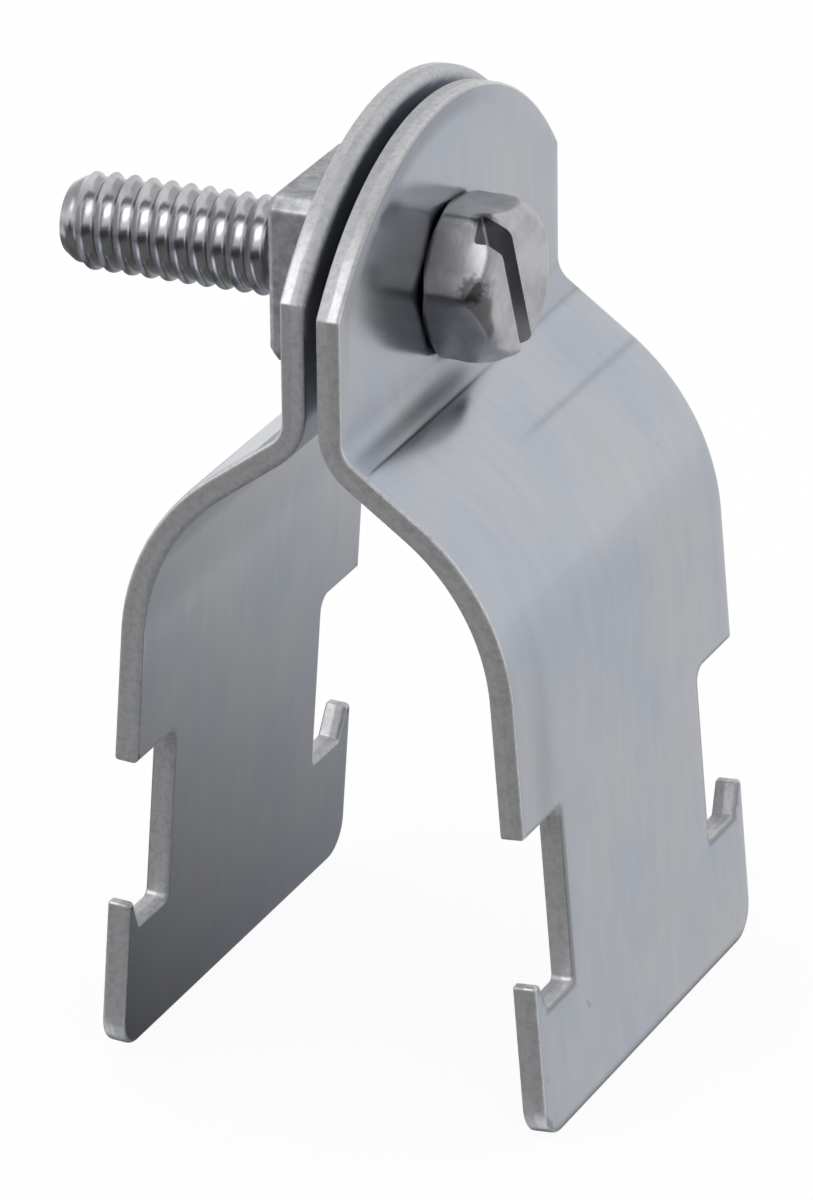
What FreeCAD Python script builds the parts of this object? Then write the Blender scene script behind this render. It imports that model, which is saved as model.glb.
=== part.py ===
# Strut pipe clamp for a 3/4 in rigid conduit: two stamped strap halves, a slotted hex-head
# screw and a square nut. Millimetres. X runs along the screw towards its head, Y along the
# pipe and Z up. The origin is on the pipe's axis, midway across the strap's width and below
# the middle of the gap between the two ears.
import FreeCAD, Part
import math
import os
import Sketcher

vec = FreeCAD.Vector

# Driving sizes: name, value, what it is
SIZES = [
    ("strap_thick", 1.55, "steel strip thickness"),
    ("strap_width", 33.3, "strip width, along the pipe"),
    ("ear_gap", 1.0, "gap between the two ears as run in by hand"),
    ("hole_diameter", 7.14, "screw hole in each ear"),
    ("ear_side_rise", 3.15, "top of the ear's straight side above the hole"),
    ("ear_crown_rise", 11.6, "top of the ear above the hole"),
    ("bend_radius", 1.6, "hollow side of the bend below the ear"),
    ("bend_back_radius", 4.2, "outer side of the same bend, where the strip is drawn thinner"),
    ("bend_drop", 4.515, "start of the bend's hollow side below the hole, clear of the nut"),
    ("shoulder_slope", 36.0, "slope of the shoulder below the level, degrees"),
    ("pipe_radius", 13.35, "radius of the saddle, half the conduit's diameter"),
    ("pipe_inset", 2.3, "saddle's centre beyond the ear's inner face"),
    ("leg_splay", 4.2, "lean of the leg outwards, degrees"),
    ("leg_run", 8.7, "leg from the saddle to the top of the notches"),
    ("notch_height", 9.66, "top of a notch to the tip of its tooth"),
    ("neck_width", 22.0, "strip left between the notches, to pass the channel's slot"),
    ("tooth_height", 1.95, "tooth above the floor of the notch"),
    ("tooth_tip", 0.7, "flat on top of the tooth"),
    ("tooth_root", 1.7, "tooth's width at its root"),
    ("notch_top_radius", 0.9, "corner radius at the top of a notch"),
    ("notch_floor_radius", 0.4, "corner radius at the floor of a notch"),
    ("tab_height", 10.4, "tip of the tooth to the bottom edge"),
    ("tab_radius", 2.3, "bottom corner radius"),
    ("left_rise", 0.25, "left half above the screw's axis, taken from the hole's play"),
    ("right_drop", 0.4, "right half below the screw's axis, taken from the hole's play"),
    ("left_back", 0.25, "left half further back than the screw, taken from the hole's play"),
    ("shank_diameter", 6.25, "screw over the thread's crests"),
    ("shank_length", 25.4, "screw under the head, 1 in"),
    ("tip_taper", 1.3, "length of the tapered first thread at the tip"),
    ("tip_diameter", 4.7, "flat end of the tip"),
    ("thread_pitch", 1.27, "thread pitch, 20 turns to the inch"),
    ("thread_depth", 0.72, "thread's crest to its root"),
    ("thread_crest", 0.15, "flat left on the thread's crest"),
    ("thread_angle", 60.0, "angle between the thread's flanks, degrees"),
    ("thread_start", 0.71, "first groove's centre beyond the tip, above the axis"),
    ("thread_plain", 3.2, "plain shank between the thread and the head, inside the ears"),
    ("head_flats", 9.53, "head across flats, 3/8 in"),
    ("head_height", 4.65, "head height"),
    ("head_base_radius", 4.75, "head's bearing circle"),
    ("head_base_slope", 38.0, "chamfer on the bearing side, degrees"),
    ("head_corner_radius", 5.32, "head over its rounded corners"),
    ("head_top_radius", 4.35, "flat circle at the head's free end"),
    ("head_top_slope", 57.0, "chamfer on the free end, degrees"),
    ("head_turn", 25.0, "direction of the first flat from the pipe's axis, degrees"),
    ("slot_width", 1.9, "driver slot width"),
    ("slot_depth", 2.1, "driver slot depth"),
    ("slot_turn", 20.0, "slot's lean from the vertical, degrees"),
    ("slot_shift", 0.45, "slot off the head's centre, towards the front"),
    ("nut_flats", 10.9, "square nut across flats, 7/16 in less its tolerance"),
    ("nut_thick", 5.75, "square nut thickness, 7/32 in with its tolerance"),
    ("nut_gap", 0.1, "nut to ear, as run in by hand"),
    ("nut_corner", 0.8, "bevel on the nut's four long edges"),
    ("nut_face_bevel", 0.8, "bevel round the nut's bearing face"),
    ("nut_outer_bevel", 0.42, "bevel round the nut's outer face"),
    ("bore_bevel", 0.4, "countersink at each end of the nut's bore"),
    ("thread_clearance", 0.05, "radial gap between screw and nut"),
]

doc = FreeCAD.newDocument("strut_pipe_clamp")
sheet = doc.addObject("Spreadsheet::Sheet", "Sizes")
for row, (alias, value, note) in enumerate(SIZES, start=1):
    sheet.set("A%d" % row, alias)
    sheet.set("B%d" % row, str(value))
    sheet.set("C%d" % row, note)
    sheet.setAlias("B%d" % row, alias)
doc.recompute()


def size(alias):
    """Value of one driving size."""
    return float(getattr(sheet, alias))


def origin_plane(body, role):
    """The body's own origin plane with this role."""
    for feature in body.Origin.OriginFeatures:
        if feature.Role == role:
            return feature
    raise RuntimeError("no plane " + role)


def new_sketch(body, name, role):
    """A sketch on one of the body's origin planes."""
    sketch = body.newObject("Sketcher::SketchObject", name)
    sketch.AttachmentSupport = [(origin_plane(body, role), "")]
    sketch.MapMode = "FlatFace"
    return sketch


def drive(sketch, kind, name, expression, *refs):
    """A named dimension of the sketch, bound to the sheet."""
    is_angle = kind == "Angle"
    start = sheet_value(expression)
    start = math.radians(start) if is_angle else start
    index = sketch.addConstraint(Sketcher.Constraint(kind, *refs, start))
    sketch.renameConstraint(index, name)
    bound = "(%s) * 1 deg" % expression if is_angle else expression
    sketch.setExpression("Constraints." + name, bound)


def sheet_value(expression):
    """Present value of an expression in the sheet's sizes, to start the solver from."""
    probe = doc.addObject("App::FeaturePython", "Probe")
    probe.addProperty("App::PropertyFloat", "Value")
    probe.setExpression("Value", expression)
    doc.recompute([probe], True)
    value = float(probe.Value)
    doc.removeObject(probe.Name)
    return value


def closed_path(sketch, points):
    """Straight lines from point to point and back to the first, joined end to end."""
    count = len(points)
    first = sketch.GeometryCount
    for number in range(count):
        ends = points[number], points[(number + 1) % count]
        sketch.addGeometry(Part.LineSegment(vec(*ends[0], 0), vec(*ends[1], 0)), False)
    for number in range(count):
        after = first + (number + 1) % count
        sketch.addConstraint(Sketcher.Constraint("Coincident", first + number, 2, after, 1))
    return first


# Half of the strap

# Saddle's centre below the hole: the shoulder runs from the bend's hollow side to the saddle
SLOPE = "(Sizes.shoulder_slope * 1 deg)"
BEND_RISE = "(Sizes.bend_radius + Sizes.strap_thick) * (1 - sin%s)" % SLOPE
SADDLE_RUN = "(%s - Sizes.pipe_inset * sin%s + Sizes.pipe_radius)" % (BEND_RISE, SLOPE)
PIPE_DROP = "(Sizes.bend_drop + %s / cos%s)" % (SADDLE_RUN, SLOPE)


def bend_centre(shoulder, across, radius):
    """Centre of an arc of this radius that touches the ear's inner face and the shoulder."""
    height = (radius - (radius - shoulder.x) * across.x + shoulder.y * across.y) / across.y
    return vec(radius, height, 0)


def profile_points():
    """Joints of the strap's two outlines in the XZ plane, from the driving sizes."""
    thick = size("strap_thick")
    slope = math.radians(size("shoulder_slope"))
    splay = math.radians(size("leg_splay"))
    centre = vec(-size("pipe_inset"), -sheet_value(PIPE_DROP), 0)
    across = vec(math.sin(slope), math.cos(slope), 0)
    outward = vec(math.cos(splay), math.sin(splay), 0)
    down = vec(math.sin(splay), -math.cos(splay), 0)
    saddle_in = size("pipe_radius")
    shoulder = centre + across * saddle_in
    hollow = bend_centre(shoulder, across, size("bend_radius") + thick)
    back = bend_centre(shoulder, across, size("bend_back_radius"))
    leg = size("leg_run") + size("notch_height") + size("tab_height")
    inner = centre + outward * saddle_in
    return {
        "top_in": vec(0, size("ear_crown_rise"), 0),
        "top_out": vec(thick, size("ear_crown_rise"), 0),
        "hollow": hollow,
        "back": back,
        "centre": centre,
        "ear_in": vec(0, back.y, 0),
        "ear_out": vec(thick, hollow.y, 0),
        "shoulder_top_in": back - across * size("bend_back_radius"),
        "shoulder_top_out": hollow - across * size("bend_radius"),
        "shoulder_end_in": shoulder,
        "shoulder_end_out": shoulder + across * thick,
        "leg_in": inner,
        "leg_out": inner + outward * thick,
        "foot_in": inner + down * leg,
        "foot_out": inner + outward * thick + down * leg,
        "across": math.atan2(across.y, across.x),
        "outward": math.atan2(outward.y, outward.x),
    }


def strap_profile(body):
    """Closed section of the strip: ear, bend, shoulder, saddle and leg, both faces."""
    sketch = new_sketch(body, body.Name + "_profile", "XZ_Plane")
    at = profile_points()

    def line(start, end):
        return sketch.addGeometry(Part.LineSegment(at[start], at[end]), False)

    def arc(centre, radius, first, last):
        circle = Part.Circle(at[centre], vec(0, 0, 1), radius)
        return sketch.addGeometry(Part.ArcOfCircle(circle, first, last), False)

    turned = at["across"] + math.pi
    saddle_radius = size("pipe_radius")
    top = line("top_in", "top_out")
    ear_out = line("top_out", "ear_out")
    bend_out = arc("hollow", size("bend_radius"), math.pi, turned)
    shoulder_out = line("shoulder_top_out", "shoulder_end_out")
    saddle_out = arc("centre", saddle_radius + size("strap_thick"), at["outward"], at["across"])
    leg_out = line("leg_out", "foot_out")
    foot = line("foot_out", "foot_in")
    leg_in = line("foot_in", "leg_in")
    saddle_in = arc("centre", saddle_radius, at["outward"], at["across"])
    shoulder_in = line("shoulder_end_in", "shoulder_top_in")
    bend_in = arc("back", size("bend_back_radius"), math.pi, turned)
    ear_in = line("ear_in", "top_in")

    # Joints, as geometry and end: 1 is a start, 2 an end, 3 a centre
    smooth = [
        (ear_out, 2, bend_out, 1),
        (bend_out, 2, shoulder_out, 1),
        (shoulder_out, 2, saddle_out, 2),
        (saddle_out, 1, leg_out, 1),
        (leg_in, 2, saddle_in, 1),
        (saddle_in, 2, shoulder_in, 1),
        (shoulder_in, 2, bend_in, 2),
        (bend_in, 1, ear_in, 1),
    ]
    sharp = [
        (top, 2, ear_out, 1),
        (leg_out, 2, foot, 1),
        (foot, 2, leg_in, 1),
        (ear_in, 2, top, 1),
        (saddle_out, 3, saddle_in, 3),
    ]
    for joint in smooth:
        sketch.addConstraint(Sketcher.Constraint("Tangent", *joint))
    for joint in sharp:
        sketch.addConstraint(Sketcher.Constraint("Coincident", *joint))
    sketch.addConstraint(Sketcher.Constraint("Horizontal", top))
    sketch.addConstraint(Sketcher.Constraint("Vertical", ear_out))
    sketch.addConstraint(Sketcher.Constraint("Vertical", ear_in))
    sketch.addConstraint(Sketcher.Constraint("PointOnObject", top, 1, -2))
    sketch.addConstraint(Sketcher.Constraint("Perpendicular", leg_out, foot))
    sketch.addConstraint(Sketcher.Constraint("Parallel", leg_out, leg_in))
    sketch.addConstraint(Sketcher.Constraint("Parallel", shoulder_out, shoulder_in))
    drive(sketch, "DistanceX", "thick", "Sizes.strap_thick", top, 1, top, 2)
    drive(sketch, "Distance", "foot_thick", "Sizes.strap_thick", foot)
    drive(sketch, "DistanceY", "crown", "Sizes.ear_crown_rise", -1, 1, top, 1)
    drive(sketch, "Radius", "bend", "Sizes.bend_radius", bend_out)
    drive(sketch, "Radius", "bend_back", "Sizes.bend_back_radius", bend_in)
    drive(sketch, "Radius", "saddle", "Sizes.pipe_radius", saddle_in)
    drive(sketch, "DistanceX", "inset", "Sizes.pipe_inset", saddle_in, 3, -1, 1)
    drive(sketch, "DistanceY", "drop", PIPE_DROP, saddle_in, 3, -1, 1)
    drive(sketch, "Angle", "slope", "-Sizes.shoulder_slope", shoulder_out)
    drive(sketch, "Angle", "splay", "Sizes.leg_splay - 90", leg_out)
    leg_length = "Sizes.leg_run + Sizes.notch_height + Sizes.tab_height"
    drive(sketch, "Distance", "leg", leg_length, leg_in)
    return sketch


def ear_outline(body):
    """What the punch takes off the ear: all outside an arc from side to side over the top."""
    sketch = new_sketch(body, body.Name + "_ear", "YZ_Plane")
    side = size("strap_width") / 2
    low = size("ear_side_rise")
    crown = size("ear_crown_rise")
    margin = size("strap_thick")
    over = crown + margin
    out = side + margin
    rise = crown - low
    radius = (side * side + rise * rise) / (2 * rise)
    sweep = math.asin(side / radius)
    corners = [(side, low), (out, low), (out, over), (-out, over), (-out, low), (-side, low)]
    edges = []
    for start, end in zip(corners, corners[1:]):
        edges.append(sketch.addGeometry(Part.LineSegment(vec(*start, 0), vec(*end, 0)), False))
    circle = Part.Circle(vec(0, crown - radius, 0), vec(0, 0, 1), radius)
    half_turn = math.pi / 2
    arc = sketch.addGeometry(
        Part.ArcOfCircle(circle, half_turn - sweep, half_turn + sweep), False
    )
    for before, after in zip(edges, edges[1:]):
        sketch.addConstraint(Sketcher.Constraint("Coincident", before, 2, after, 1))
    sketch.addConstraint(Sketcher.Constraint("Coincident", edges[0], 1, arc, 1))
    sketch.addConstraint(Sketcher.Constraint("Coincident", edges[4], 2, arc, 2))
    for level in (edges[0], edges[2], edges[4]):
        sketch.addConstraint(Sketcher.Constraint("Horizontal", level))
    for upright in (edges[1], edges[3]):
        sketch.addConstraint(Sketcher.Constraint("Vertical", upright))
    sketch.addConstraint(Sketcher.Constraint("Symmetric", arc, 1, arc, 2, -2))
    sketch.addConstraint(Sketcher.Constraint("Equal", edges[0], edges[4]))
    drive(sketch, "DistanceX", "width", "Sizes.strap_width", arc, 2, arc, 1)
    drive(sketch, "DistanceY", "side_rise", "Sizes.ear_side_rise", -1, 1, arc, 1)
    drive(sketch, "DistanceX", "margin", "Sizes.strap_thick", edges[0], 1, edges[0], 2)
    drive(sketch, "DistanceY", "over", "Sizes.ear_crown_rise + Sizes.strap_thick",
          -1, 1, edges[2], 1)
    reach = "Sizes.ear_crown_rise - Sizes.ear_side_rise"
    bulge = "((Sizes.strap_width / 2)^2 + (%s)^2) / (2 * (%s))" % (reach, reach)
    drive(sketch, "Radius", "bulge", bulge, arc)
    return sketch


def hole_outline(body):
    """Round hole for the screw, on the ear's own centre."""
    sketch = new_sketch(body, body.Name + "_hole", "YZ_Plane")
    circle = Part.Circle(vec(0, 0, 0), vec(0, 0, 1), size("hole_diameter") / 2)
    hole = sketch.addGeometry(circle, False)
    sketch.addConstraint(Sketcher.Constraint("Coincident", hole, 3, -1, 1))
    drive(sketch, "Diameter", "hole", "Sizes.hole_diameter", hole)
    return sketch


def leg_sketch(body, name):
    """A sketch that lies in the leg: across the strip and up the leg, from the saddle's end."""
    sketch = new_sketch(body, name, "YZ_Plane")
    sketch.AttachmentOffset = FreeCAD.Placement(vec(0, 0, 0), FreeCAD.Rotation(vec(1, 0, 0), -1))
    splay = "(Sizes.leg_splay * 1 deg)"
    sketch.setExpression("AttachmentOffset.Rotation.Angle", "-Sizes.leg_splay * 1 deg")
    up = "Sizes.pipe_radius * sin%s - %s" % (splay, PIPE_DROP)
    out = "Sizes.pipe_radius * cos%s - Sizes.pipe_inset" % splay
    sketch.setExpression("AttachmentOffset.Base.y", up)
    sketch.setExpression("AttachmentOffset.Base.z", out)
    return sketch


def notch_outline(body):
    """One notch for a channel lip: level top, round inner corners and a tooth outside."""
    sketch = leg_sketch(body, body.Name + "_notch")
    out = size("strap_width") / 2 + size("strap_thick")
    neck = size("neck_width") / 2
    top = -size("leg_run")
    tip = top - size("notch_height")
    floor = tip - size("tooth_height")
    big = size("notch_top_radius")
    small = size("notch_floor_radius")
    tooth_top = size("strap_width") / 2 - size("tooth_tip")
    tooth_foot = size("strap_width") / 2 - size("tooth_root")

    def line(start, end):
        return sketch.addGeometry(Part.LineSegment(vec(*start, 0), vec(*end, 0)), False)

    def corner(centre, radius, first):
        circle = Part.Circle(vec(*centre, 0), vec(0, 0, 1), radius)
        return sketch.addGeometry(Part.ArcOfCircle(circle, first, first + math.pi / 2), False)

    level = line((out, top), (neck + big, top))
    upper = corner((neck + big, top - big), big, math.pi / 2)
    side = line((neck, top - big), (neck, floor + small))
    lower = corner((neck + small, floor + small), small, math.pi)
    bottom = line((neck + small, floor), (tooth_foot, floor))
    flank = line((tooth_foot, floor), (tooth_top, tip))
    crest = line((tooth_top, tip), (out, tip))
    close = line((out, tip), (out, top))
    sketch.addConstraint(Sketcher.Constraint("Tangent", level, 2, upper, 1))
    sketch.addConstraint(Sketcher.Constraint("Tangent", upper, 2, side, 1))
    sketch.addConstraint(Sketcher.Constraint("Tangent", side, 2, lower, 1))
    sketch.addConstraint(Sketcher.Constraint("Tangent", lower, 2, bottom, 1))
    for before, after in ((bottom, flank), (flank, crest), (crest, close), (close, level)):
        sketch.addConstraint(Sketcher.Constraint("Coincident", before, 2, after, 1))
    for flat in (level, bottom, crest):
        sketch.addConstraint(Sketcher.Constraint("Horizontal", flat))
    for upright in (side, close):
        sketch.addConstraint(Sketcher.Constraint("Vertical", upright))
    drive(sketch, "DistanceX", "neck", "Sizes.neck_width / 2", -1, 1, side, 1)
    drive(sketch, "DistanceX", "out", "Sizes.strap_width / 2 + Sizes.strap_thick",
          -1, 1, close, 1)
    drive(sketch, "DistanceY", "top", "Sizes.leg_run", level, 1, -1, 1)
    drive(sketch, "DistanceY", "tip", "Sizes.leg_run + Sizes.notch_height", crest, 1, -1, 1)
    drive(sketch, "DistanceY", "tooth", "Sizes.tooth_height", bottom, 2, crest, 1)
    drive(sketch, "DistanceX", "tooth_tip", "Sizes.strap_width / 2 - Sizes.tooth_tip",
          -1, 1, crest, 1)
    drive(sketch, "DistanceX", "tooth_root", "Sizes.strap_width / 2 - Sizes.tooth_root",
          -1, 1, bottom, 2)
    drive(sketch, "Radius", "upper", "Sizes.notch_top_radius", upper)
    drive(sketch, "Radius", "lower", "Sizes.notch_floor_radius", lower)
    return sketch


def cut_through(body, name, sketch):
    """A pocket that runs right through both ways."""
    before = body.Shape.Volume
    pocket = body.newObject("PartDesign::Pocket", name)
    pocket.Profile = sketch
    pocket.Type = "ThroughAll"
    pocket.Midplane = True
    doc.recompute()
    if not body.Shape.Volume < before:
        raise RuntimeError(name + " cuts nothing")
    return pocket


def foot_corner_edges(shape):
    """The two thickness edges at the bottom corners of the leg."""
    low = shape.BoundBox.ZMin + 2 * size("strap_thick")
    side = size("strap_width") / 2
    thick = size("strap_thick")
    names = []
    for number, edge in enumerate(shape.Edges, start=1):
        box = edge.BoundBox
        at_side = abs(abs(box.Center.y) - side) < thick / 10
        across = abs(edge.Length - thick) < thick / 10 and box.YLength < thick / 10
        if at_side and across and box.Center.z < low:
            names.append("Edge%d" % number)
    return names


def strap_half(name, turn, x_rule, y_rule, z_rule):
    """One strap half. Its own origin is the hole's centre on the ear's inner face.

    turn is the half's heading about Z, and the three rules say where its origin lies.
    """
    body = doc.addObject("PartDesign::Body", name)
    body.Label = name
    profile = strap_profile(body)
    doc.recompute()
    pad = body.newObject("PartDesign::Pad", name + "_strip")
    pad.Profile = profile
    pad.Midplane = True
    pad.setExpression("Length", "Sizes.strap_width")
    doc.recompute()
    cut_through(body, name + "_ear_cut", ear_outline(body))
    cut_through(body, name + "_hole_cut", hole_outline(body))
    notch = cut_through(body, name + "_notch_cut", notch_outline(body))
    before = body.Shape.Volume
    both = body.newObject("PartDesign::Mirrored", name + "_notches")
    both.Originals = [notch]
    both.MirrorPlane = (origin_plane(body, "XZ_Plane"), [""])
    body.Tip = both
    doc.recompute()
    if not body.Shape.Volume < before:
        raise RuntimeError("the second notch cuts nothing")
    corners = body.newObject("PartDesign::Fillet", name + "_foot")
    corners.Base = (both, foot_corner_edges(both.Shape))
    corners.setExpression("Radius", "Sizes.tab_radius")
    doc.recompute()
    body.Placement = FreeCAD.Placement(vec(0, 0, 0), FreeCAD.Rotation(vec(0, 0, 1), turn))
    body.setExpression("Placement.Base.x", x_rule)
    body.setExpression("Placement.Base.y", y_rule)
    body.setExpression("Placement.Base.z", z_rule)
    doc.recompute()
    return body


# Screw


def screw_outline(body):
    """Half section of the shank along X: crest line, tapered tip and axis."""
    sketch = new_sketch(body, "screw_outline", "XZ_Plane")
    crest = size("shank_diameter") / 2
    end = -size("shank_length")
    taper = size("tip_taper")
    tip = size("tip_diameter") / 2
    root = size("head_height") / 2
    corners = [(root, 0), (root, crest), (end + taper, crest), (end, tip), (end, 0)]
    first = closed_path(sketch, corners)
    rise, run, cone, face, axis = range(first, first + 5)
    for upright in (rise, face):
        sketch.addConstraint(Sketcher.Constraint("Vertical", upright))
    sketch.addConstraint(Sketcher.Constraint("Horizontal", run))
    sketch.addConstraint(Sketcher.Constraint("PointOnObject", axis, 1, -1))
    sketch.addConstraint(Sketcher.Constraint("PointOnObject", axis, 2, -1))
    drive(sketch, "DistanceX", "root", "Sizes.head_height / 2", -1, 1, rise, 1)
    drive(sketch, "DistanceY", "crest", "Sizes.shank_diameter / 2", -1, 1, run, 1)
    drive(sketch, "DistanceX", "length", "Sizes.shank_length", axis, 1, -1, 1)
    drive(sketch, "DistanceX", "taper", "Sizes.tip_taper", cone, 2, cone, 1)
    drive(sketch, "DistanceY", "tip", "Sizes.tip_diameter / 2", -1, 1, cone, 2)
    return sketch


def groove_outline(body):
    """The thread's groove in section, above the axis: its root, both flanks and its open top.

    The top lies a quarter of the depth outside the crests, so that the cut leaves no skin.
    """
    sketch = new_sketch(body, "thread_groove", "XZ_Plane")
    flank = "tan(Sizes.thread_angle / 2 * 1 deg)"
    mouth = "(Sizes.thread_pitch - Sizes.thread_crest)"
    root_width = "(%s - 2 * Sizes.thread_depth * %s)" % (mouth, flank)
    top_width = "(%s + Sizes.thread_depth / 2 * %s)" % (mouth, flank)
    beyond = "Sizes.shank_length + Sizes.thread_start"
    middle = -sheet_value(beyond)
    low = size("shank_diameter") / 2 - size("thread_depth")
    high = size("shank_diameter") / 2 + size("thread_depth") / 4
    root_half = sheet_value(root_width) / 2
    top_half = sheet_value(top_width) / 2
    corners = [(middle - top_half, high), (middle - root_half, low),
               (middle + root_half, low), (middle + top_half, high)]
    first = closed_path(sketch, corners)
    root, top = first + 1, first + 3
    for level in (root, top):
        sketch.addConstraint(Sketcher.Constraint("Horizontal", level))
    drive(sketch, "DistanceY", "low", "Sizes.shank_diameter / 2 - Sizes.thread_depth",
          -1, 1, root, 1)
    drive(sketch, "DistanceY", "high", "Sizes.shank_diameter / 2 + Sizes.thread_depth / 4",
          -1, 1, top, 1)
    drive(sketch, "DistanceX", "root_width", root_width, root, 1, root, 2)
    drive(sketch, "DistanceX", "top_width", top_width, top, 2, top, 1)
    drive(sketch, "DistanceX", "root_end", beyond + " + %s / 2" % root_width,
          root, 1, -1, 1)
    drive(sketch, "DistanceX", "top_end", beyond + " + %s / 2" % top_width,
          top, 2, -1, 1)
    return sketch


def hexagon(body):
    """Six equal sides round the axis, across flats as stated."""
    sketch = new_sketch(body, "head_hexagon", "YZ_Plane")
    corner_radius = size("head_flats") / math.sqrt(3)
    corners = []
    for number in range(6):
        angle = math.radians(size("head_turn") + 30 + 60 * number)
        corners.append((corner_radius * math.cos(angle), corner_radius * math.sin(angle)))
    first = closed_path(sketch, corners)
    circle = Part.Circle(vec(0, 0, 0), vec(0, 0, 1), corner_radius)
    ring = sketch.addGeometry(circle, True)
    sketch.addConstraint(Sketcher.Constraint("Coincident", ring, 3, -1, 1))
    for number in range(6):
        side = first + number
        sketch.addConstraint(Sketcher.Constraint("PointOnObject", side, 1, ring))
        if number:
            sketch.addConstraint(Sketcher.Constraint("Equal", first, side))
    drive(sketch, "Diameter", "corners", "2 * Sizes.head_flats / sqrt(3)", ring)
    drive(sketch, "Angle", "turn", "Sizes.head_turn + 30 + 120", first)
    return sketch


def head_bevels(body):
    """Section of the ring that a round die takes off the hexagon: a cone at each end and
    rounded corners between them."""
    sketch = new_sketch(body, "head_bevels", "XZ_Plane")
    height = size("head_height")
    over = size("head_flats") / math.sqrt(3) + size("slot_width")
    corner = size("head_corner_radius")
    base = size("head_base_radius")
    top = size("head_top_radius")
    base_run = (corner - base) * math.tan(math.radians(size("head_base_slope")))
    top_run = (corner - top) * math.tan(math.radians(size("head_top_slope")))
    section = [
        (0, base),
        (0, over),
        (height, over),
        (height, top),
        (height - top_run, corner),
        (base_run, corner),
    ]
    first = closed_path(sketch, section)
    bearing, outside, end, top_cone, round_side, base_cone = range(first, first + 6)
    for upright in (bearing, end):
        sketch.addConstraint(Sketcher.Constraint("Vertical", upright))
    for level in (outside, round_side):
        sketch.addConstraint(Sketcher.Constraint("Horizontal", level))
    sketch.addConstraint(Sketcher.Constraint("PointOnObject", bearing, 1, -2))
    run = "(Sizes.head_corner_radius - Sizes.head_%s_radius) * tan(Sizes.head_%s_slope * 1 deg)"
    drive(sketch, "DistanceY", "base_radius", "Sizes.head_base_radius", -1, 1, bearing, 1)
    drive(sketch, "DistanceY", "over", "Sizes.head_flats / sqrt(3) + Sizes.slot_width",
          -1, 1, bearing, 2)
    drive(sketch, "DistanceX", "height", "Sizes.head_height", -1, 1, end, 1)
    drive(sketch, "DistanceY", "top_radius", "Sizes.head_top_radius", -1, 1, end, 2)
    drive(sketch, "DistanceY", "corner", "Sizes.head_corner_radius", -1, 1, round_side, 1)
    drive(sketch, "DistanceX", "top_run", run % ("top", "top"), top_cone, 2, top_cone, 1)
    drive(sketch, "DistanceX", "base_run", run % ("base", "base"), base_cone, 2, base_cone, 1)
    return sketch


def slot_outline(body):
    """Driver slot across the head's free end, longer than the head is wide."""
    sketch = new_sketch(body, "driver_slot", "YZ_Plane")
    sketch.AttachmentOffset = FreeCAD.Placement(vec(0, 0, 0), FreeCAD.Rotation(vec(0, 0, 1), 1))
    sketch.setExpression("AttachmentOffset.Rotation.Angle", "Sizes.slot_turn * 1 deg")
    sketch.setExpression("AttachmentOffset.Base.x", "-Sizes.slot_shift")
    sketch.setExpression("AttachmentOffset.Base.z", "Sizes.head_height")
    side = size("slot_width") / 2
    reach = size("head_flats")
    first = closed_path(sketch, [(side, -reach), (side, reach), (-side, reach), (-side, -reach)])
    for number in (0, 2):
        sketch.addConstraint(Sketcher.Constraint("Vertical", first + number))
    for number in (1, 3):
        sketch.addConstraint(Sketcher.Constraint("Horizontal", first + number))
    sketch.addConstraint(Sketcher.Constraint("Symmetric", first, 1, first + 1, 2, -1, 1))
    drive(sketch, "DistanceX", "width", "Sizes.slot_width", first + 1, 2, first + 1, 1)
    drive(sketch, "DistanceY", "reach", "2 * Sizes.head_flats", first, 1, first, 2)
    return sketch


def hex_screw():
    """Slotted hex-head machine screw. Its own origin is the head's bearing face."""
    body = doc.addObject("PartDesign::Body", "hex_screw")
    body.Label = "hex_screw"
    outline = screw_outline(body)
    doc.recompute()
    shank = body.newObject("PartDesign::Revolution", "screw_shank")
    shank.Profile = outline
    shank.ReferenceAxis = (outline, ["H_Axis"])
    shank.Angle = 360
    doc.recompute()
    six_sides = hexagon(body)
    doc.recompute()
    head = body.newObject("PartDesign::Pad", "screw_head")
    head.Profile = six_sides
    head.setExpression("Length", "Sizes.head_height")
    doc.recompute()
    before = body.Shape.Volume
    ring = head_bevels(body)
    doc.recompute()
    bevels = body.newObject("PartDesign::Groove", "screw_head_bevels")
    bevels.Profile = ring
    bevels.ReferenceAxis = (ring, ["H_Axis"])
    bevels.Angle = 360
    doc.recompute()
    if not body.Shape.Volume < before:
        raise RuntimeError("the head's bevels cut nothing")
    before = body.Shape.Volume
    rectangle = slot_outline(body)
    doc.recompute()
    slot = body.newObject("PartDesign::Pocket", "screw_slot")
    slot.Profile = rectangle
    slot.setExpression("Length", "Sizes.slot_depth")
    doc.recompute()
    if not body.Shape.Volume < before:
        raise RuntimeError("the driver slot cuts nothing")
    before = body.Shape.Volume
    groove = groove_outline(body)
    doc.recompute()
    thread = body.newObject("PartDesign::SubtractiveHelix", "screw_thread")
    thread.Profile = groove
    thread.ReferenceAxis = (groove, ["H_Axis"])
    thread.Mode = "pitch-height-angle"
    thread.setExpression("Pitch", "Sizes.thread_pitch")
    thread.setExpression("Height", "Sizes.shank_length + Sizes.thread_start - Sizes.thread_plain")
    doc.recompute()
    if not body.Shape.Volume < before:
        raise RuntimeError("the thread's groove cuts nothing")
    body.setExpression("Placement.Base.x", "Sizes.ear_gap / 2 + Sizes.strap_thick")
    body.setExpression("Placement.Base.z", PIPE_DROP)
    doc.recompute()
    return body


# Nut


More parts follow.
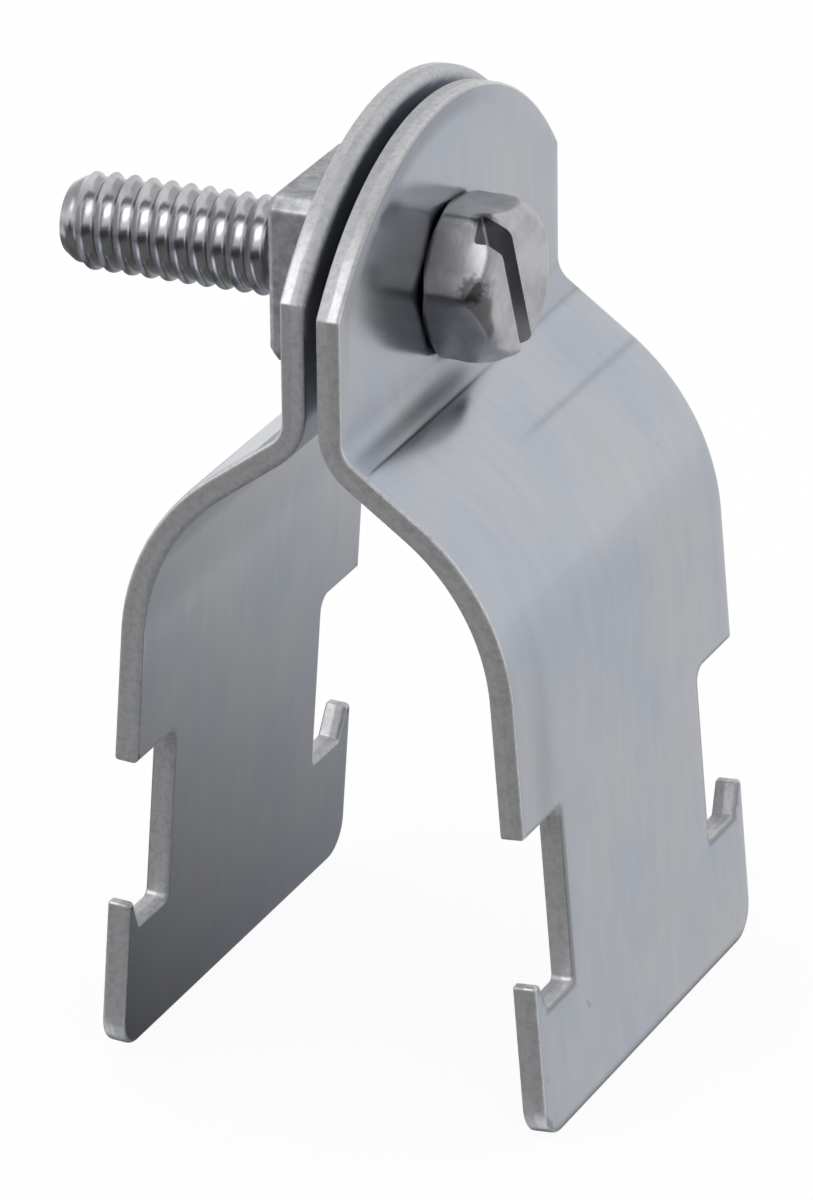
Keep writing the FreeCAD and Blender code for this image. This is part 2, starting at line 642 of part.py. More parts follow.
def square_nut():
    """Square nut. Its own origin is the bore's centre on the bearing face, body along -X."""
    body = doc.addObject("PartDesign::Body", "square_nut")
    body.Label = "square_nut"
    sketch = new_sketch(body, "nut_square", "YZ_Plane")
    half = size("nut_flats") / 2
    first = closed_path(sketch, [(half, -half), (half, half), (-half, half), (-half, -half)])
    for number in (0, 2):
        sketch.addConstraint(Sketcher.Constraint("Vertical", first + number))
    for number in (1, 3):
        sketch.addConstraint(Sketcher.Constraint("Horizontal", first + number))
    sketch.addConstraint(Sketcher.Constraint("Symmetric", first, 1, first + 1, 2, -1, 1))
    drive(sketch, "DistanceX", "across", "Sizes.nut_flats", first + 1, 2, first + 1, 1)
    drive(sketch, "DistanceY", "up", "Sizes.nut_flats", first, 1, first, 2)
    doc.recompute()
    block = body.newObject("PartDesign::Pad", "nut_block")
    block.Profile = sketch
    block.Reversed = True
    block.setExpression("Length", "Sizes.nut_thick")
    doc.recompute()

    long_edges = edges_of(block.Shape, lambda box: box.XLength > size("nut_thick") / 2)
    corners = bevel(body, "nut_corners", block, long_edges, "Sizes.nut_corner")
    face_edges = edges_of(corners.Shape, lambda box: box.XMin > -size("nut_thick") / 2)
    bearing = bevel(body, "nut_bearing", corners, face_edges, "Sizes.nut_face_bevel")
    far = -size("nut_thick") + size("nut_outer_bevel") / 2
    outer_edges = edges_of(bearing.Shape, lambda box: box.XMax < far)
    bevel(body, "nut_outer", bearing, outer_edges, "Sizes.nut_outer_bevel")

    bore_sketch = new_sketch(body, "nut_bore_outline", "XZ_Plane")
    radius = size("shank_diameter") / 2 + size("thread_clearance")
    deep = size("nut_thick")
    cone = size("bore_bevel")
    section = [
        (0, 0),
        (0, radius + cone),
        (-cone, radius),
        (-deep + cone, radius),
        (-deep, radius + cone),
        (-deep, 0),
    ]
    start = closed_path(bore_sketch, section)
    near, mouth, wall, exit_cone, far_face, axis = range(start, start + 6)
    for upright in (near, far_face):
        bore_sketch.addConstraint(Sketcher.Constraint("Vertical", upright))
    bore_sketch.addConstraint(Sketcher.Constraint("Horizontal", wall))
    bore_sketch.addConstraint(Sketcher.Constraint("Coincident", near, 1, -1, 1))
    bore_sketch.addConstraint(Sketcher.Constraint("PointOnObject", far_face, 2, -1))
    radius_rule = "Sizes.shank_diameter / 2 + Sizes.thread_clearance"
    drive(bore_sketch, "DistanceY", "bore", radius_rule, -1, 1, wall, 1)
    drive(bore_sketch, "DistanceY", "mouth", radius_rule + " + Sizes.bore_bevel", -1, 1, near, 2)
    drive(bore_sketch, "DistanceX", "near_cone", "Sizes.bore_bevel", mouth, 2, mouth, 1)
    drive(bore_sketch, "DistanceX", "far_cone", "Sizes.bore_bevel", exit_cone, 2, exit_cone, 1)
    drive(bore_sketch, "DistanceY", "exit", radius_rule + " + Sizes.bore_bevel",
          -1, 1, far_face, 1)
    drive(bore_sketch, "DistanceX", "deep", "Sizes.nut_thick", axis, 1, axis, 2)
    doc.recompute()
    before = body.Shape.Volume
    bore = body.newObject("PartDesign::Groove", "nut_bore")
    bore.Profile = bore_sketch
    bore.ReferenceAxis = (bore_sketch, ["H_Axis"])
    bore.Angle = 360
    doc.recompute()
    if not body.Shape.Volume < before:
        raise RuntimeError("the nut's bore cuts nothing")
    body.setExpression("Placement.Base.x",
                       "-Sizes.ear_gap / 2 - Sizes.strap_thick - Sizes.nut_gap")
    body.setExpression("Placement.Base.z", PIPE_DROP)
    doc.recompute()
    return body


def edges_of(shape, wanted):
    """Names of the edges whose bounding box passes the test."""
    names = []
    for number, edge in enumerate(shape.Edges, start=1):
        if wanted(edge.BoundBox):
            names.append("Edge%d" % number)
    return names


def bevel(body, name, base, edge_names, rule):
    """A chamfer on named edges of the feature before it."""
    feature = body.newObject("PartDesign::Chamfer", name)
    feature.Base = (base, edge_names)
    feature.setExpression("Size", rule)
    doc.recompute()
    return feature


# The assembly, and its files

left = strap_half("left_half", 180, "-Sizes.ear_gap / 2", "Sizes.left_back",
                  PIPE_DROP + " + Sizes.left_rise")
right = strap_half("right_half", 0, "Sizes.ear_gap / 2", "0",
                   PIPE_DROP + " - Sizes.right_drop")
screw = hex_screw()
nut = square_nut()
doc.recompute()

for thing in doc.Objects:
    if "Invalid" in thing.State or "Error" in thing.State:
        raise RuntimeError("%s is %s" % (thing.Name, thing.State))

os.makedirs("parts", exist_ok=True)
for piece in (left, right, screw, nut):
    shape = piece.Shape
    if shape.isNull() or not shape.isValid() or len(shape.Solids) != 1:
        raise RuntimeError(piece.Label + " is not one valid solid")
    shape.Solids[0].exportStep("parts/%s.step" % piece.Label)
    print("%s: %.1f mm3" % (piece.Label, shape.Volume))
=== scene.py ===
"""Dressed scene of a two-piece strut pipe clamp: strap halves, slotted hex screw, square nut.

Lengths are millimetres in the part's own frame (X along the screw towards its head, Y along
the pipe, Z up, origin on the pipe's axis) until a mesh is made, where they turn to metres.
"""
import logging
import math
from dataclasses import dataclass, field
from enum import Enum
from typing import Sequence

import bmesh
import bpy
import numpy as np
from mathutils import Matrix, Vector
from mathutils.geometry import delaunay_2d_cdt

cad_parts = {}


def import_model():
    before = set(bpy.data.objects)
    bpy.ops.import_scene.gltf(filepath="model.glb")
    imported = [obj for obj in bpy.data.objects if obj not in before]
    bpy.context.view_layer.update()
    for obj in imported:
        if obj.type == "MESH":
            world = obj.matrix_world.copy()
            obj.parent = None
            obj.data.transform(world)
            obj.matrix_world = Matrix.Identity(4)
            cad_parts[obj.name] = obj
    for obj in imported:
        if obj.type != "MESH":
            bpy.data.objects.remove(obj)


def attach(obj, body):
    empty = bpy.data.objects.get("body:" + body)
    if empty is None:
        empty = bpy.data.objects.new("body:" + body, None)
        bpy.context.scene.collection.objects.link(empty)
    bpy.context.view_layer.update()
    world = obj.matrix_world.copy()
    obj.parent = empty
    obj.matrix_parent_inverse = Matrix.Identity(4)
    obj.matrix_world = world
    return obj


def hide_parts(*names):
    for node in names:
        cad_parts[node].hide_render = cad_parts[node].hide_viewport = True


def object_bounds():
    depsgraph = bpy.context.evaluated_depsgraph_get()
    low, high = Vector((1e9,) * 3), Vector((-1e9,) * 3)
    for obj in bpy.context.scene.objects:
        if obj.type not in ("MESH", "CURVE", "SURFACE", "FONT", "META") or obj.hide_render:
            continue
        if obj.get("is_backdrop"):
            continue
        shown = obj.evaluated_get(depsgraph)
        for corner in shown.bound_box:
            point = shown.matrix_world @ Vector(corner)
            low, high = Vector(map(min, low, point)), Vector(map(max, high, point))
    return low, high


LOG = logging.getLogger("clamp")
MM = 0.001
SCREW_HEIGHT = 20.95
FLOOR_GAP = 0.02
WHITE = "#FFFFFF"
Array = np.ndarray
Material = bpy.types.Material
Object = bpy.types.Object
Sockets = bpy.types.bpy_prop_collection
Input = bpy.types.NodeSocket | str | float | tuple[float, ...]


class Side(Enum):
    """Which strap half: the one under the screw's head, or the one with the nut."""

    RIGHT = "right"
    LEFT = "left"


# How far each half lies back (Y) and up (Z) of the screw's axis in its loose hole
PLAY = {Side.LEFT: (0.25, 0.25), Side.RIGHT: (0.0, -0.4)}
# Radius of the round along the inner face's rim: on the body, and on the ear
WEAR = {Side.LEFT: (0.3, 0.62), Side.RIGHT: (0.1, 0.1)}


def linear(hex_colour: str) -> tuple[float, float, float, float]:
    """Turn an sRGB hex colour to linear: c / 12.92 up to 0.04045, ((c + 0.055) / 1.055)^2.4 above.

    Args:
        hex_colour: six hex digits with a leading #.

    Returns:
        Linear red, green, blue and an alpha of 1.
    """
    parts = np.array([int(hex_colour[i:i + 2], 16) for i in (1, 3, 5)]) / 255
    low = parts / 12.92
    high = ((parts + 0.055) / 1.055) ** 2.4
    red, green, blue = np.where(parts <= 0.04045, low, high)
    return float(red), float(green), float(blue), 1.0


def smoothstep(values: Array, low: float, high: float) -> Array:
    """Smooth step: 0 below low, 1 above high, 3t^2 - 2t^3 between."""
    t = np.clip((values - low) / (high - low), 0, 1)
    return t * t * (3 - 2 * t)


def make_object(name: str, points: Array, faces: list, material: Material) -> Object:
    """Put points and faces into a smooth-shaded mesh object at the origin.

    Args:
        name: the object's name.
        points: vertices in millimetres, one row each.
        faces: vertex numbers of each face.
        material: the finish it wears.

    Returns:
        The new object, linked to the scene.
    """
    mesh = bpy.data.meshes.new(name)
    mesh.from_pydata((points * MM).tolist(), [], faces)
    mesh.polygons.foreach_set("use_smooth", np.ones(len(mesh.polygons), bool))
    mesh.materials.append(material)
    mesh.update()
    piece = bpy.data.objects.new(name, mesh)
    bpy.context.scene.collection.objects.link(piece)
    return piece


def weld(piece: Object, distance: float) -> None:
    """Merge doubles, drop faces that shrink to nothing and turn the faces outwards.

    Args:
        piece: the object to close.
        distance: merging distance in millimetres.
    """
    shape = bmesh.new()
    shape.from_mesh(piece.data)
    bmesh.ops.remove_doubles(shape, verts=shape.verts, dist=distance * MM)
    bmesh.ops.dissolve_degenerate(shape, dist=distance * MM / 2, edges=shape.edges)
    bmesh.ops.recalc_face_normals(shape, faces=shape.faces)
    open_edges = sum(1 for edge in shape.edges if not edge.is_manifold)
    for face in shape.faces:
        face.smooth = True
    shape.to_mesh(piece.data)
    shape.free()
    LOG.info("%s: %d vertices, %d open edges", piece.name, len(piece.data.vertices), open_edges)


def grid_faces(rows: int, columns: int, close_rows: bool = False) -> Array:
    """Quads of a stack of closed rings whose vertices are stored ring by ring.

    Args:
        rows: number of rings.
        columns: vertices in a ring.
        close_rows: whether the last ring joins the first.

    Returns:
        Vertex numbers, four to a face.
    """
    r, c = np.meshgrid(np.arange(rows if close_rows else rows - 1), np.arange(columns), indexing="ij")
    r2, c2 = (r + 1) % rows, (c + 1) % columns
    quads = np.stack([r * columns + c, r * columns + c2, r2 * columns + c2, r2 * columns + c], -1)
    return quads.reshape(-1, 4)


def turned(name: str, x: Array, radius: Array, angles: Array, material: Material,
           close_rows: bool = False) -> Object:
    """Mesh a piece round the screw's axis, with its points at (x, r cos a, r sin a), and weld it.

    Args:
        name: the object's name.
        x: place of each point along the screw, one row to a ring.
        radius: distance of each point from the axis.
        angles: the columns' angles about X, from +Y towards +Z.
        material: the finish it wears.
        close_rows: whether the last ring joins the first.

    Returns:
        The closed object.
    """
    points = np.stack([x, radius * np.cos(angles), radius * np.sin(angles) + SCREW_HEIGHT], -1)
    faces = grid_faces(len(x), len(angles), close_rows).tolist()
    piece = make_object(name, points.reshape(-1, 3), faces, material)
    weld(piece, 0.002)
    return piece


def plane(name: str, corner: Sequence, along: Sequence, across: Sequence, material: Material) -> Object:
    """A flat four-sided card, declared as stage.

    Args:
        name: the object's name.
        corner: its first corner in millimetres.
        along: its first side.
        across: its second side.
        material: the finish it wears.

    Returns:
        The new object.
    """
    start, side, rise = np.array(corner), np.array(along), np.array(across)
    points = np.stack([start, start + side, start + side + rise, start + rise])
    card = make_object(name, points, [[0, 1, 2, 3]], material)
    card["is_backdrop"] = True
    return card


def rounded_outline(corners: Sequence[tuple[float, float, float]], step: float) -> Array:
    """Closed outline with each corner rounded by an arc that touches both its sides.

    Where the outline turns by t, an arc of radius r meets each side r |tan(t / 2)| from the
    corner, and its centre lies r from that side, on the inside of the turn.

    Args:
        corners: first coordinate, second coordinate and corner radius, in order.
        step: largest spacing of points along a straight side.

    Returns:
        Points of the outline, one row each, the last not repeated.
    """
    at = np.array([(a, b) for a, b, _ in corners])
    radius = np.array([r for _, _, r in corners])
    ahead = np.roll(at, -1, 0) - at
    ahead /= np.linalg.norm(ahead, axis=1)[:, None]
    behind = np.roll(ahead, 1, 0)
    turn = np.arctan2(behind[:, 0] * ahead[:, 1] - behind[:, 1] * ahead[:, 0], (behind * ahead).sum(1))
    reach = radius * np.abs(np.tan(turn / 2))
    rings = []
    for k in range(len(corners)):
        start = at[k] - behind[k] * reach[k]
        end = at[k] + ahead[k] * reach[k]
        if radius[k] > 0:
            normal = np.array([-behind[k][1], behind[k][0]]) * math.copysign(1, turn[k])
            centre = start + normal * radius[k]
            count = max(4, int(abs(turn[k]) / 0.17))
            angles = np.linspace(0, turn[k], count + 1)
            u, v = -normal * radius[k]
            cos, sin = np.cos(angles), np.sin(angles)
            rings.append(centre + np.stack([cos * u - sin * v, sin * u + cos * v], -1))
        else:
            rings.append(at[k][None])
        after = (k + 1) % len(corners)
        target = at[after] - ahead[k] * reach[after]
        pieces = max(1, math.ceil(np.linalg.norm(target - end) / step))
        rings.append(end + (target - end) * np.linspace(0, 1, pieces + 1)[1:-1, None])
    return np.concatenate(rings)


def outline_normals(ring: Array) -> Array:
    """Outward normals of a closed outline, longer at corners so that an offset keeps its sides:
    (m + n) / (1 + m.n) for the unit normals m and n of the two sides that meet.

    Args:
        ring: points in counter-clockwise order.

    Returns:
        One vector for each point.
    """
    ahead = np.roll(ring, -1, 0) - ring
    ahead /= np.linalg.norm(ahead, axis=1)[:, None]
    side = np.stack([ahead[:, 1], -ahead[:, 0]], -1)
    before = np.roll(side, 1, 0)
    return (side + before) / (1 + (side * before).sum(1))[:, None]


def inside(points: Array, ring: Array) -> Array:
    """Whether each point is in the outline, by counting the edges it crosses to one side.

    Args:
        points: the points to test, one row each.
        ring: points of the closed outline.

    Returns:
        True for each point that is inside.
    """
    a, b = ring, np.roll(ring, -1, 0)
    px, py = points[:, :1], points[:, 1:]
    spans = (a[:, 1] > py) != (b[:, 1] > py)
    with np.errstate(divide="ignore", invalid="ignore"):
        cut = a[:, 0] + (py - a[:, 1]) / (b[:, 1] - a[:, 1]) * (b[:, 0] - a[:, 0])
    return (spans & (px < cut)).sum(1) % 2 == 1


def distance_to(points: Array, ring: Array) -> Array:
    """Distance from each point to the nearest side of a closed outline.

    The nearest place on a side from a to b is a + t (b - a), with t held between 0 and 1.

    Args:
        points: the points to measure from, one row each.
        ring: points of the closed outline.

    Returns:
        One distance for each point.
    """
    a, b = ring, np.roll(ring, -1, 0)
    side = b - a
    length = (side ** 2).sum(1)
    nearest = np.full(len(points), np.inf)
    # In batches, so that the table of points by sides stays small
    batch = 4000
    for start in range(0, len(points), batch):
        offset = points[start:start + batch, None] - a
        part = np.clip((offset * side).sum(2) / length, 0, 1)
        gap = np.linalg.norm(offset - part[..., None] * side, axis=2)
        nearest[start:start + batch] = gap.min(1)
    return nearest


@dataclass
class Nodes:
    """A node tree and the one way to add to it."""

    tree: bpy.types.NodeTree

    def feed(self, node: str | bpy.types.Node, inputs: dict[str | int, Input]) -> None:
        """Link or set inputs of a node.

        Args:
            node: the node, or the name of one that the tree has.
            inputs: input name or number to the socket, value or hex colour that it takes.
        """
        sockets = (self.tree.nodes[node] if isinstance(node, str) else node).inputs
        for key, value in inputs.items():
            if isinstance(value, bpy.types.NodeSocket):
                self.tree.links.new(value, sockets[key])
            else:
                sockets[key].default_value = linear(value) if isinstance(value, str) else value

    def add(self, kind: str, inputs: dict[str | int, Input] | None = None, **settings) -> Sockets:
        """Add one node, set its properties and feed its inputs.

        Args:
            kind: the node's type, such as ShaderNodeMath.
            inputs: input name or number to the socket, value or hex colour that it takes.
            settings: properties of the node.

        Returns:
            The new node's outputs.
        """
        node = self.tree.nodes.new(kind)
        for key, value in settings.items():
            setattr(node, key, value)
        self.feed(node, inputs or {})
        return node.outputs


@dataclass
class Skin(Nodes):
    """A new material of this name and its node tree."""

    tree: bpy.types.NodeTree = field(init=False)
    name: str

    def __post_init__(self) -> None:
        """Make the material."""
        self.material = bpy.data.materials.new(self.name)
        self.material.use_nodes = True
        self.tree = self.material.node_tree

    def finish(self, colour: Input, roughness: Input, metallic: Input, normal: Input) -> Material:
        """Feed the shader with these and hand the material over."""
        self.feed("Principled BSDF", {"Base Color": colour, "Roughness": roughness,
                                      "Metallic": metallic, "Normal": normal})
        return self.material

    def show(self, surface: Input) -> Material:
        """Feed the output with this surface and hand the material over."""
        self.feed("Material Output", {"Surface": surface})
        return self.material


@dataclass(frozen=True)
class ZincStrap:
    """Zinc-plated low-carbon strip, stamped: a satin, faintly cloudy sheet, bluish in places,
    drawn along the strip's length; its cut edges show a smooth bright band towards the outer
    face and a dull torn band beside the inner."""

    name: str = "zinc_plated_strip"
    warm: str = "#B4B6BB"
    cool: str = "#ABB1BC"
    burnish: str = "#DADADC"
    torn: str = "#CACBCE"
    stain_and_shade: str = "#5E5F62"
    cloud_mm: float = 9.0
    streak_mm: float = 1.3
    streak_length_mm: float = 6.0
    speck_mm: float = 1.9
    wave_mm: float = 1.6
    pit_mm: float = 0.4
    grain_mm: float = 0.3
    bump_mm: float = 0.02

    def material(self) -> Material:
        """Build the material. It reads the piece's own attributes: depth through the strip, cut on
        sheared faces and on a band of painted light along the rim of the left half's inner face, a
        darker-colour attribute for painted shade and a worn streak, and bent where the bend stretched
        the plating; and its map of the flat blank, along and across the strip.

        Returns:
            The node material.
        """
        skin = Skin(self.name)
        place = skin.add("ShaderNodeTexCoord")["Object"]
        blank = skin.add("ShaderNodeUVMap", uv_map="blank")["UV"]
        depth, cut, shade_and_wear, bent = (skin.add("ShaderNodeAttribute", attribute_name=name)["Fac"]
                                  for name in ("depth", "cut", "shade_and_wear", "bent"))
        drawn_out = (self.streak_mm / self.streak_length_mm, 1, 1)
        stretched = skin.add("ShaderNodeMapping", {"Vector": blank, "Scale": drawn_out})[0]
        cloud, streak, speck, wave, pits, grain = (
            skin.add("ShaderNodeTexNoise", {"Vector": at, "Scale": 1 / (size * MM), "Detail": detail,
                                            "Roughness": roughness})["Fac"]
            for at, size, detail, roughness in (
                (place, self.cloud_mm, 4.0, 0.5), (stretched, self.streak_mm, 4.0, 0.6),
                (place, self.speck_mm, 3.0, 0.7), (place, self.wave_mm, 2.0, 0.5),
                (place, self.pit_mm, 4.0, 0.7), (place, self.grain_mm, 3.0, 0.6)))

        # Plating: clouds shift the grey between warm and bluish, streaks follow the strip
        tone = skin.add("ShaderNodeMapRange", {"Value": cloud, "From Min": 0.35, "From Max": 0.65},
                        interpolation_type="SMOOTHSTEP")[0]
        sheet = skin.add("ShaderNodeMix", {"Factor": tone, 6: self.warm, 7: self.cool},
                         data_type="RGBA")[2]
        shade = skin.add("ShaderNodeMapRange", {"Value": streak, "From Min": 0.3, "From Max": 0.7,
                                                "To Min": 0.965, "To Max": 1.03})[0]
        streaked = skin.add("ShaderNodeVectorMath", {0: sheet, "Scale": shade}, operation="SCALE")[0]
        dirt = skin.add("ShaderNodeMapRange", {"Value": speck, "From Min": 0.7, "From Max": 0.78,
                                               "To Max": 0.3})[0]
        spotted = skin.add("ShaderNodeMix", {"Factor": dirt, 6: streaked, 7: self.stain_and_shade},
                           data_type="RGBA")[2]

        # Cut edge: a wavy line half way through parts the smooth and the torn band
        wavy = skin.add("ShaderNodeMath", {0: wave, 1: 0.2, 2: -0.1}, operation="MULTIPLY_ADD")[0]
        level = skin.add("ShaderNodeMath", {0: depth, 1: wavy}, operation="ADD")[0]
        band = skin.add("ShaderNodeMapRange", {"Value": level, "From Min": 0.42, "From Max": 0.52},
                        interpolation_type="SMOOTHSTEP")[0]
        sheared = skin.add("ShaderNodeMix", {"Factor": band, 6: self.torn, 7: self.burnish},
                           data_type="RGBA")[2]
        pit = skin.add("ShaderNodeMapRange", {"Value": pits, "From Min": 0.45, "From Max": 0.72,
                                              "To Max": 0.3})[0]
        pitted = skin.add("ShaderNodeMix", {"Factor": pit, 6: sheared, 7: self.stain_and_shade},
                          data_type="RGBA")[2]
        before_painted_shade = skin.add("ShaderNodeMix", {"Factor": cut, 6: spotted, 7: pitted}, data_type="RGBA")[2]
        # Painted shade: the darker colour laid by the attribute on the pressed line, its dent, the ear's
        # margin, the notch lips and the head's contact shadow round the hole; it also carries a worn
        # streak and a faint line where the saddle begins
        shown = skin.add("ShaderNodeMix", {"Factor": shade_and_wear, 6: before_painted_shade, 7: self.stain_and_shade},
                         data_type="RGBA")[2]

        # Satin sheet, dulled where the bend stretched it, and a duller torn band
        satin = skin.add("ShaderNodeMapRange", {"Value": cloud, "From Min": 0.3, "From Max": 0.7,
                                                "To Min": 0.23, "To Max": 0.16})[0]
        dulled = skin.add("ShaderNodeMath", {0: bent, 1: 0.26, 2: satin}, operation="MULTIPLY_ADD")[0]
        edge = skin.add("ShaderNodeMapRange", {"Value": band, "To Min": 0.62, "To Max": 0.46})[0]
        gloss = skin.add("ShaderNodeMix", {"Factor": cut, 2: dulled, 3: edge})[0]
        # A sheared face is so broken up that part of its light is scattered, not mirrored
        metal = skin.add("ShaderNodeMath", {0: cut, 1: -0.1, 2: 1.0}, operation="MULTIPLY_ADD")[0]
        coarse = skin.add("ShaderNodeMath", {0: cut, 1: 0.5, 2: 0.08}, operation="MULTIPLY_ADD")[0]
        bumps = skin.add("ShaderNodeBump", {"Height": grain, "Strength": coarse,
                                            "Distance": self.bump_mm * MM})[0]
        waves = skin.add("ShaderNodeBump", {"Height": streak, "Normal": bumps, "Strength": 0.05,
                                            "Distance": self.bump_mm * MM})[0]
        return skin.finish(shown, gloss, metal, waves)


@dataclass(frozen=True)
class BrightZinc:
    """Bright zinc on a cold-formed screw: the rolled thread is nearly a mirror with hard black and white
    reflections, the struck head is duller and grainy, with a painted shadow where it meets the ear."""

    name: str = "bright_zinc_screw"
    pale: str = "#C9C9CC"
    grey: str = "#ADADB1"
    seat_shadow: str = "#4A4A4D"
    seat_shadow_mm: tuple[float, float] = (2.1, 2.5)
    head_mm: float = 2.05
    chamfer_mm: tuple[float, float] = (4.6, 5.5)
    side_shade: float = 0.79
    end_shade: float = 0.87
    blotch_mm: float = 2.6
    dent_mm: float = 0.06
    grain_mm: float = 0.32
    bump_mm: float = 0.02
    thread_roughness: float = 0.25
    head_roughness: float = 0.35
    bruise: str = "#3C3C3F"
    bruises_mm: tuple[tuple[float, float, float, float], ...] = (
        (5.5, -5.0, 22.1, 0.85), (5.2, -2.33, 25.75, 0.7))

    def material(self) -> Material:
        """Build the material: noise for colour, gloss and bumps, and the place along the
        screw for what differs between head and thread.

        Returns:
            The node material.
        """
        skin = Skin(self.name)
        place = skin.add("ShaderNodeTexCoord")["Object"]
        along = skin.add("ShaderNodeSeparateXYZ", {0: place})["X"]
        blotch, fine = (
            skin.add("ShaderNodeTexNoise", {"Vector": place, "Scale": 1 / (size * MM),
                                            "Detail": detail, "Roughness": roughness})["Fac"]
            for size, detail, roughness in ((self.blotch_mm, 5.0, 0.6), (self.grain_mm, 3.0, 0.5)))
        tone = skin.add("ShaderNodeMapRange", {"Value": blotch, "From Min": 0.35, "From Max": 0.65})[0]
        colour = skin.add("ShaderNodeMix", {"Factor": tone, 6: self.grey, 7: self.pale},
                          data_type="RGBA")[2]
        # Painted shadow in the gap under the head: dark between the ear and the first part of the
        # chamfer
        start, end = self.seat_shadow_mm
        leaves = skin.add("ShaderNodeMapRange", {"Value": along, "From Min": start * MM,
                                                 "From Max": end * MM, "To Min": 1.0, "To Max": 0.0},
                          interpolation_type="SMOOTHSTEP")[0]
        on_head = skin.add("ShaderNodeMath", {0: along, 1: self.head_mm * MM},
                           operation="GREATER_THAN")[0]
        crevice_shadow = skin.add("ShaderNodeMath", {0: leaves, 1: on_head}, operation="MULTIPLY")[0]
        with_seat_shadow = skin.add("ShaderNodeMix", {"Factor": crevice_shadow, 6: colour, 7: self.seat_shadow},
                          data_type="RGBA")[2]
        # The head's sides took the die's scale and are greyer than its chamfer and the thread
        start, end = self.chamfer_mm
        scaled = skin.add("ShaderNodeMapRange", {"Value": along, "From Min": start * MM,
                                                 "From Max": end * MM, "To Min": self.side_shade,
                                                 "To Max": self.end_shade})[0]
        off_head = skin.add("ShaderNodeMath", {0: 1.0, 1: on_head}, operation="SUBTRACT")[0]
        shade = skin.add("ShaderNodeMath", {0: scaled, 1: off_head}, operation="MAXIMUM")[0]
        shown = skin.add("ShaderNodeVectorMath", {0: with_seat_shadow, "Scale": shade}, operation="SCALE")[0]
        # Knocks on two corners broke the plating: small dark patches with a ragged border
        for x, y, z, size in self.bruises_mm:
            far = skin.add("ShaderNodeVectorMath", {0: place, 1: (x * MM, y * MM, z * MM)},
                           operation="DISTANCE")["Value"]
            ragged = skin.add("ShaderNodeMath", {0: fine, 1: 0.8 * MM, 2: far},
                              operation="MULTIPLY_ADD")[0]
            patch = skin.add("ShaderNodeMapRange", {"Value": ragged, "From Min": (size + 0.15) * MM,
                                                    "From Max": (size + 0.65) * MM,
                                                    "To Min": 0.85, "To Max": 0.0})[0]
            shown = skin.add("ShaderNodeMix", {"Factor": patch, 6: shown, 7: self.bruise},
                             data_type="RGBA")[2]
        # Roughness varies by 0.08 either way about the thread's value, and the head is rougher
        uneven = skin.add("ShaderNodeMath", {0: blotch, 1: -0.16, 2: 0.08 + self.thread_roughness},
                          operation="MULTIPLY_ADD")[0]
        duller = self.head_roughness - self.thread_roughness
        gloss = skin.add("ShaderNodeMath", {0: on_head, 1: duller, 2: uneven},
                         operation="MULTIPLY_ADD")[0]
        coarse = skin.add("ShaderNodeMath", {0: on_head, 1: 0.4, 2: 0.1}, operation="MULTIPLY_ADD")[0]
        bumps = skin.add("ShaderNodeBump", {"Height": fine, "Strength": coarse,
                                            "Distance": self.bump_mm * MM})[0]
        dents = skin.add("ShaderNodeBump", {"Height": blotch, "Normal": bumps, "Strength": 0.4,
                                            "Distance": self.dent_mm * MM})[0]
        return skin.finish(shown, gloss, 1.0, dents)


@dataclass(frozen=True)
class DullZinc:
    """Barrel-plated square nut: greyer than the screw, with a tumbled face of fine dents that
    breaks reflections into light and dark mottle."""

    name: str = "dull_zinc_nut"
    pale: str = "#D2D3D6"
    grey: str = "#A0A1A4"
    mottle_mm: float = 1.1
    dent_mm: float = 0.06

    def material(self) -> Material:
        """Build the material from one noise: mottle, gloss and dents.

        Returns:
            The node material.
        """
        skin = Skin(self.name)
        place = skin.add("ShaderNodeTexCoord")["Object"]
        mottle = skin.add("ShaderNodeTexNoise", {"Vector": place, "Scale": 1 / (self.mottle_mm * MM),
                                                 "Detail": 5.0, "Roughness": 0.65})["Fac"]
        tone = skin.add("ShaderNodeMapRange", {"Value": mottle, "From Min": 0.35, "From Max": 0.65})[0]
        colour = skin.add("ShaderNodeMix", {"Factor": tone, 6: self.grey, 7: self.pale},
                          data_type="RGBA")[2]
        gloss = skin.add("ShaderNodeMapRange", {"Value": mottle, "From Min": 0.3, "From Max": 0.7,
                                                "To Min": 0.62, "To Max": 0.46})[0]
        dents = skin.add("ShaderNodeBump", {"Height": mottle, "Strength": 0.8,
                                            "Distance": self.dent_mm * MM})[0]
        # The tumbled skin is so broken up that part of its light is scattered, not mirrored
        return skin.finish(colour, gloss, 0.9, dents)


